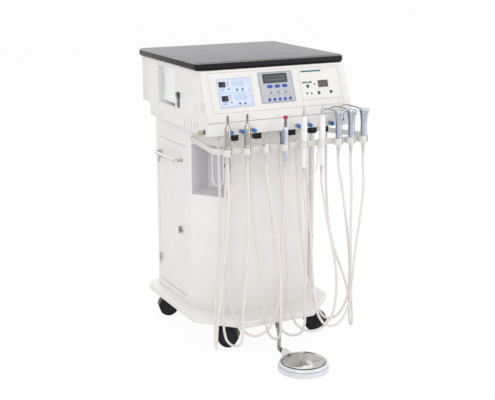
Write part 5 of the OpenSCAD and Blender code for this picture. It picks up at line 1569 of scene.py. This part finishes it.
class CART_OT_cabinet(bpy.types.Operator):
    """Cabinet with chamfered corners and its open compartment, the door, handle and lock"""
    bl_idname = "cart.cabinet"
    bl_label = "Cabinet"

    def execute(self, context):
        shell = coated(remade("cabinet_shell", sizes().sheet_edge / MM), "ivory_paint")
        into = Vector((math.sin(NICHE_ANGLE), math.cos(NICHE_ANGLE), 0))
        across = Vector((into.y, -into.x, 0))
        # The compartment's walls and floor are lavender grey: painted shade in the recess
        touched(shell, "niche_shade_paint", lambda c, n: (
            NICHE_FLOOR - 1 < c.z < 764 and 0.8 < (c - NICHE_FACE).dot(into) < 140
            and abs((c - NICHE_FACE).dot(across)) < 82))
        hand_in(shell, "cabinet_body", "ivory_paint", BODY, "cabinet_shell")
        self.door()
        self.handle()
        self.lock()
        self.base()
        return {"FINISHED"}

    def door(self):
        """Folded door with rolled edges, its tray and the moving hinge knuckles."""
        x0, y0, y1, z0, z1, sheet = -CAB_SIDE, -71.5, 187.5, 159.5, 741.5, 2.5
        leaf = block((x0, y0, z0), (x0 + 18, y1, z1))
        cut(leaf, block((x0 + sheet, y0 + sheet, z0 + sheet), (x0 + 20, y1 - sheet, z1 - sheet)))
        round_edges(leaf, 1.6, 4, lambda a, b: a.x < x0 + 0.1 and b.x < x0 + 0.1)
        cut(leaf, lock_bore())
        coated(leaf, "ivory_paint")
        # The door's side walls are grey: painted shade that darkens the gap round the door
        touched(leaf, "seam_shade_paint", lambda c, n: c.x > x0 + 2 and not (
            y0 + 0.1 <= c.y <= y1 - 0.1 and z0 + 0.1 <= c.z <= z1 - 0.1))
        boss = turned([(13, 2), (13, 16), (12, 17)], at(*LOCK_AT) @ turn(90, "Y"), 48)
        pieces = [leaf, coated(cut(boss, lock_bore()), "fitting_chrome")]
        for z in (240.3, 655.3):
            knuckle = turned([(3.6, 0), (4, 0.5), (4, 21.5), (3.6, 22)], at(-259.3, 192, z), 32)
            cut(knuckle, turned([(2.05, -1), (2.05, 23)], at(-259.3, 192, z), 24))
            strap = block((-263.3, 172, z), (-261.1, 191, z + 22), 0.6, 2)
            link = block((-263.3, 173, z), (-254, 181, z + 22), 0.6, 2)
            pieces += [coated(p, "fitting_chrome") for p in (knuckle, strap, link)]
        hand_in(joined(*pieces), "door_leaf", "ivory_paint", "door", "door")

    def handle(self):
        """Bow handle: a round bar with two bends on two rosettes."""
        x, y, z, half, out, bend = -CAB_SIDE, 62, 686, 98, 30, 12
        line = [(x + 1, y - half, z), (x - 9, y - half, z), (x - out + bend, y - half, z)]
        for j in range(1, 9):
            a = math.radians(90 * j / 8)
            line.append((x - out + bend - bend * math.sin(a), y - half + bend - bend * math.cos(a), z))
        near = [Vector(p) for p in line]
        far = [Vector((p.x, 2 * y - p.y, p.z)) for p in reversed(near)]
        middle = [Vector((x - out, y + half * t, z)) for t in (-0.4, 0, 0.4)]
        bar = swept([p * MM for p in near + middle + far], 5 * MM, 28)
        pieces = [coated(outward(bar), "handle_chrome")]
        for side in (-1, 1):
            rosette = turned([(8, 0), (8, 1.6), (7.6, 2.4), (6.6, 3), (5, 3)],
                             at(x, y + side * half, z) @ turn(-90, "Y"), 32)
            pieces.append(coated(rosette, "handle_chrome"))
        hand_in(joined(*pieces), "bow_handle", "handle_chrome", "door", "door_handle")

    def lock(self):
        """Quarter-turn lock: its plate, barrel, grip with a printed line, and cam."""
        place = at(*LOCK_AT) @ turn(-90, "Y")
        plate = turned([(16, 0.3), (16, 1.8), (15.4, 2.8), (14.2, 3.3), (12, 3.3)], place)
        barrel_piece = turned([(8, -23), (8, 3), (11, 3), (11, 7.2), (10.4, 8), (6, 8)], place)
        grip = block((-14, -4, 7), (14, 4, 15), 1.6, 3)
        slot_line = block((-12, -0.5, 14.8), (4, 0.5, 15.3), 0.2, 1)
        cam = block((-56, -6, -23), (8, 6, -20), 0.6, 2)
        pieces = [coated(plate, "fitting_chrome"), coated(barrel_piece, "lock_dark"),
                  coated(placed(grip, place), "lock_dark"), coated(placed(slot_line, place), "keypad_white"),
                  coated(placed(cam, place), "fitting_chrome")]
        hand_in(joined(*pieces), "turn_lock", "lock_dark", "lock", "door_lock")

    def base(self):
        """Base plate with cut corners and a rolled upper edge."""
        side, back, front, rear_cut, front_cut = 290, 272, -340, 34, 142
        half = [(side - front_cut, front), (side, front + front_cut), (side, back - rear_cut),
                (side - rear_cut, back)]
        outline = [*half, *((-x, y) for x, y in reversed(half))]
        plate = prism(outline, 101, 126)
        round_edges(plate, 6, 4, lambda p, q: abs(p.z - q.z) > 20)
        round_edges(plate, 3.6, 4, lambda p, q: p.z > 125.9 and q.z > 125.9)
        round_edges(plate, 1.4, 2, lambda p, q: p.z < 101.1 and q.z < 101.1)
        hand_in(coated(plate, "ivory_paint"), "base_board", "ivory_paint", BODY, "base_plate")


# ---------- castors and foot control ----------

STEMS = ((-186, -220), (196, -220), (-205, 171), (205, 171))
CASTOR_TURN = (-40, -62, 165, -60)
WHEEL_R = 37.5
TRAIL = 28


class CART_OT_castors(bpy.types.Operator):
    """Four twin-wheel castors with hoods"""
    bl_idname = "cart.castors"
    bl_label = "Castors"

    def execute(self, context):
        for k in range(4):
            hood = coated(remade(f"castor_fork_{k + 1}", 0.6), "castor_black")
            hand_in(hood, f"castor_hood_{k + 1}", "castor_black", f"fork_{k + 1}",
                    f"castor_fork_{k + 1}")
            self.wheels(k)
        return {"FINISHED"}

    def wheel(self):
        """One wheel, drawn outwards from the web: bore, tyre with two grooves, dished centre and cap."""
        r, w = WHEEL_R, 17
        tyre = turned([
            (r - 8, 0), (r - 2, 0), (r - 0.7, 0.5), (r, 2), (r, 4.6), (r - 0.7, 5), (r - 0.7, 5.8),
            (r, 6.2), (r, 8.8), (r - 0.7, 9.2), (r - 0.7, 10), (r, 10.4), (r, w - 4),
            (r - 0.9, w - 1.8), (r - 2.6, w - 0.4), (r - 4, w), (r - 9, w), (r - 9.6, w - 0.8),
            (r - 10, w - 2.4)], None, 64)
        centre = turned([
            (4, 4), (10, 4), (12, 0.4), (r - 8, 0.4), (r - 8, w - 3), (14, w - 3), (13, w - 2.6)],
            None, 64)
        cap = turned([(9.6, w - 3.2), (9.2, w - 1.6), (8, w - 1.1), (4, w - 1)], None, 32)
        return joined(coated(tyre, "castor_tread"), coated(centre, "castor_hub"),
                      coated(cap, "castor_black"))

    def wheels(self, k):
        """Two wheels on one axle, at the place and angle of their castor."""
        here = at(*STEMS[k], 0) @ turn(CASTOR_TURN[k], "Z") @ at(TRAIL, 0, WHEEL_R) @ turn(90, "X")
        first = self.wheel()
        second = copied(first, turn(180, "X") @ at(0, 0, 5.3))
        first.data.transform(at(0, 0, 5.3))
        axle = coated(turned([(3.6, -19), (4, -18.6), (4, 18.6), (3.6, 19)], None, 24),
                      "fitting_chrome")
        pair = placed(joined(first, second, axle), here)
        hand_in(pair, f"twin_wheels_{k + 1}", "castor_tread", f"wheels_{k + 1}",
                f"castor_wheels_{k + 1}")


FOOT = (-20, -552)


class CART_OT_foot_control(bpy.types.Operator):
    """Foot control: pale ring, polished disc and hose connector"""
    bl_idname = "cart.foot_control"
    bl_label = "Foot control"

    def execute(self, context):
        x, y = FOOT
        ring = turned([
            (91, 0), (92.4, 0.5), (93, 1.4), (93, 6), (92.6, 9.5), (91.4, 14), (90.4, 17),
            (89.6, 17.6), (89.2, 19.6), (89.4, 20.4), (88.4, 23), (86.4, 27.4), (85.4, 28.9),
            (84, 29.8), (82.4, 30), (81, 29.7), (80.5, 29), (80.5, 3), (16, 3), (16, 20),
            (15.4, 20.5), (10.1, 20.5), (10.1, 3.1), (2, 3.1)], at(x, y, 0), 96)

        def reach(c):
            return math.hypot(c.x - x, c.y - y)

        coated(ring, "pedal_ring")
        # The ring's groove is grey-blue: painted shade
        touched(ring, "pedal_groove", lambda c, n: 88.9 < reach(c) < 89.9 and 17 < c.z < 20.6)
        # The inside under the disc is dark: painted shade that makes the gap round the disc read dark
        touched(ring, "castor_hub", lambda c, n: c.z < 29 and reach(c) < 80.6)
        plug = block((x - 14, y + 84, 0), (x + 6, y + 138, 28), 3, 4,
                     lambda a, b: abs(a.y - b.y) > 30 and a.z > 1 or (a.y > y + 137 and b.y > y + 137))
        round_edges(plug, 0.8, 2, lambda a, b: abs(a.z - b.z) > 15 and a.y > y + 130)
        nose = turned([(9.5, -2), (9.5, 10), (9.1, 12), (8.4, 13.6), (7.4, 14)],
                      at(x - 4, y + 138, 15) @ turn(-90, "X"), 32)
        screw = turned([(2.6, 0), (2.6, 1), (2.1, 1.4)], at(x - 4, y + 122, 28), 20)
        base = joined(ring, coated(plug, "handpiece_white"), coated(nose, "castor_hub"),
                      coated(screw, "fitting_chrome"))
        hand_in(base, "pedal_base", "pedal_ring", BODY, "foot_base")
        self.disc(x, y)
        return {"FINISHED"}

    def disc(self, x, y):
        """Polished dome with a rolled rim and a shallow ring, on its guide post."""
        high, wide, rim = 21, 79, 33
        ball = (wide * wide + high * high) / (2 * high)
        profile = [(75.5, rim - 1), (79, rim - 1), (79, rim + 0.4), (78.4, rim + 1.2)]
        for k in range(1, 15):
            r = 77.4 * (1 - k / 15)
            z = rim + high - ball + math.sqrt(ball * ball - r * r)
            profile.append((r, z - (0.25 if k in (4, 5) else 0)))
        dome = coated(turned(profile, at(x, y, 0), 96), "pedal_steel")
        post = coated(turned([(9.4, 7.3), (10, 8), (10, 49)], at(x, y, 0), 32), "fitting_chrome")
        hand_in(joined(dome, post), "pedal_disc", "pedal_steel", "pedal", "foot_disc", angle=50)


# ---------- inner pieces ----------

class CART_OT_inner(bpy.types.Operator):
    """Electronics tray, compressor and supply conduit"""
    bl_idname = "cart.inner"
    bl_label = "Inner pieces"

    def execute(self, context):
        tray = coated(remade("electronics_tray"), "tray_zinc")
        touched(tray, "electronics", lambda c, n: 846 < c.z < 850 and c.x < 31 and c.y < 71)
        touched(tray, "black_plastic", lambda c, n: c.x > 69 and c.z > 850)
        touched(tray, "valve_brass", lambda c, n: c.y > 80 and c.x < 26 and c.z > 846)
        hand_in(tray, "tray_parts", "electronics", BODY, "electronics_tray")
        pump = coated(remade("compressor", 0.8), "compressor_grey")
        touched(pump, "tray_zinc", lambda c, n: c.x > 145 and c.z > 260)
        hand_in(pump, "compressor_set", "compressor_grey", BODY, "compressor")
        self.conduit()
        return {"FINISHED"}

    def conduit(self):
        """Smooth supply conduit in its flared boot, held by two clips."""
        x, y = 272, -92
        pipe = turned([(16, 126), (16, 130.4), (15.4, 132), (14.6, 134), (12.6, 200), (12.1, 214),
                       (12, 217), (12, 829.8)], at(x, y, 0), 40)
        pieces = [coated(pipe, "conduit_grey")]
        for z in (330, 620):
            clip = turned([(12.1, 0), (13, 0.5), (13, 13.5), (12.1, 14)], at(x, y, z), 40)
            lug = block((255.2, y - 6, z + 1), (x - 9, y + 6, z + 13), 1, 2)
            pieces += [coated(clip, "fitting_chrome"), coated(lug, "fitting_chrome")]
        hand_in(joined(*pieces), "supply_pipe", "conduit_grey", BODY, "supply_conduit")


# ---------- sidebar and run ----------

GROUPS = (
    CART_OT_stage, CART_OT_hoses, CART_OT_worktop, CART_OT_housing, CART_OT_panel,
    CART_OT_valves, CART_OT_rail, CART_OT_handpieces, CART_OT_syringes, CART_OT_cabinet,
    CART_OT_castors, CART_OT_foot_control, CART_OT_inner)


class CART_PT_sidebar(bpy.types.Panel):
    """Sizes, colours and one button for each group of pieces"""
    bl_idname = "CART_PT_sidebar"
    bl_label = "Dental treatment cart"
    bl_space_type = "VIEW_3D"
    bl_region_type = "UI"
    bl_category = "Cart"

    def draw(self, context):
        for settings in (context.scene.cart_sizes, context.scene.cart_colours):
            box = self.layout.box()
            for name in settings.__annotations__:
                box.prop(settings, name)
        for group in GROUPS:
            self.layout.operator(group.bl_idname)


CLASSES = (CartSizes, CartColours, *GROUPS, CART_PT_sidebar)


def register():
    for made in CLASSES:
        bpy.utils.register_class(made)
    bpy.types.Scene.cart_sizes = PointerProperty(type=CartSizes)
    bpy.types.Scene.cart_colours = PointerProperty(type=CartColours)


def unregister():
    del bpy.types.Scene.cart_colours
    del bpy.types.Scene.cart_sizes
    for made in reversed(CLASSES):
        bpy.utils.unregister_class(made)


def main():
    register()
    for group in GROUPS:
        family, name = group.bl_idname.split(".")
        getattr(getattr(bpy.ops, family), name)()
    clear()


if __name__ == "__main__":
    main()
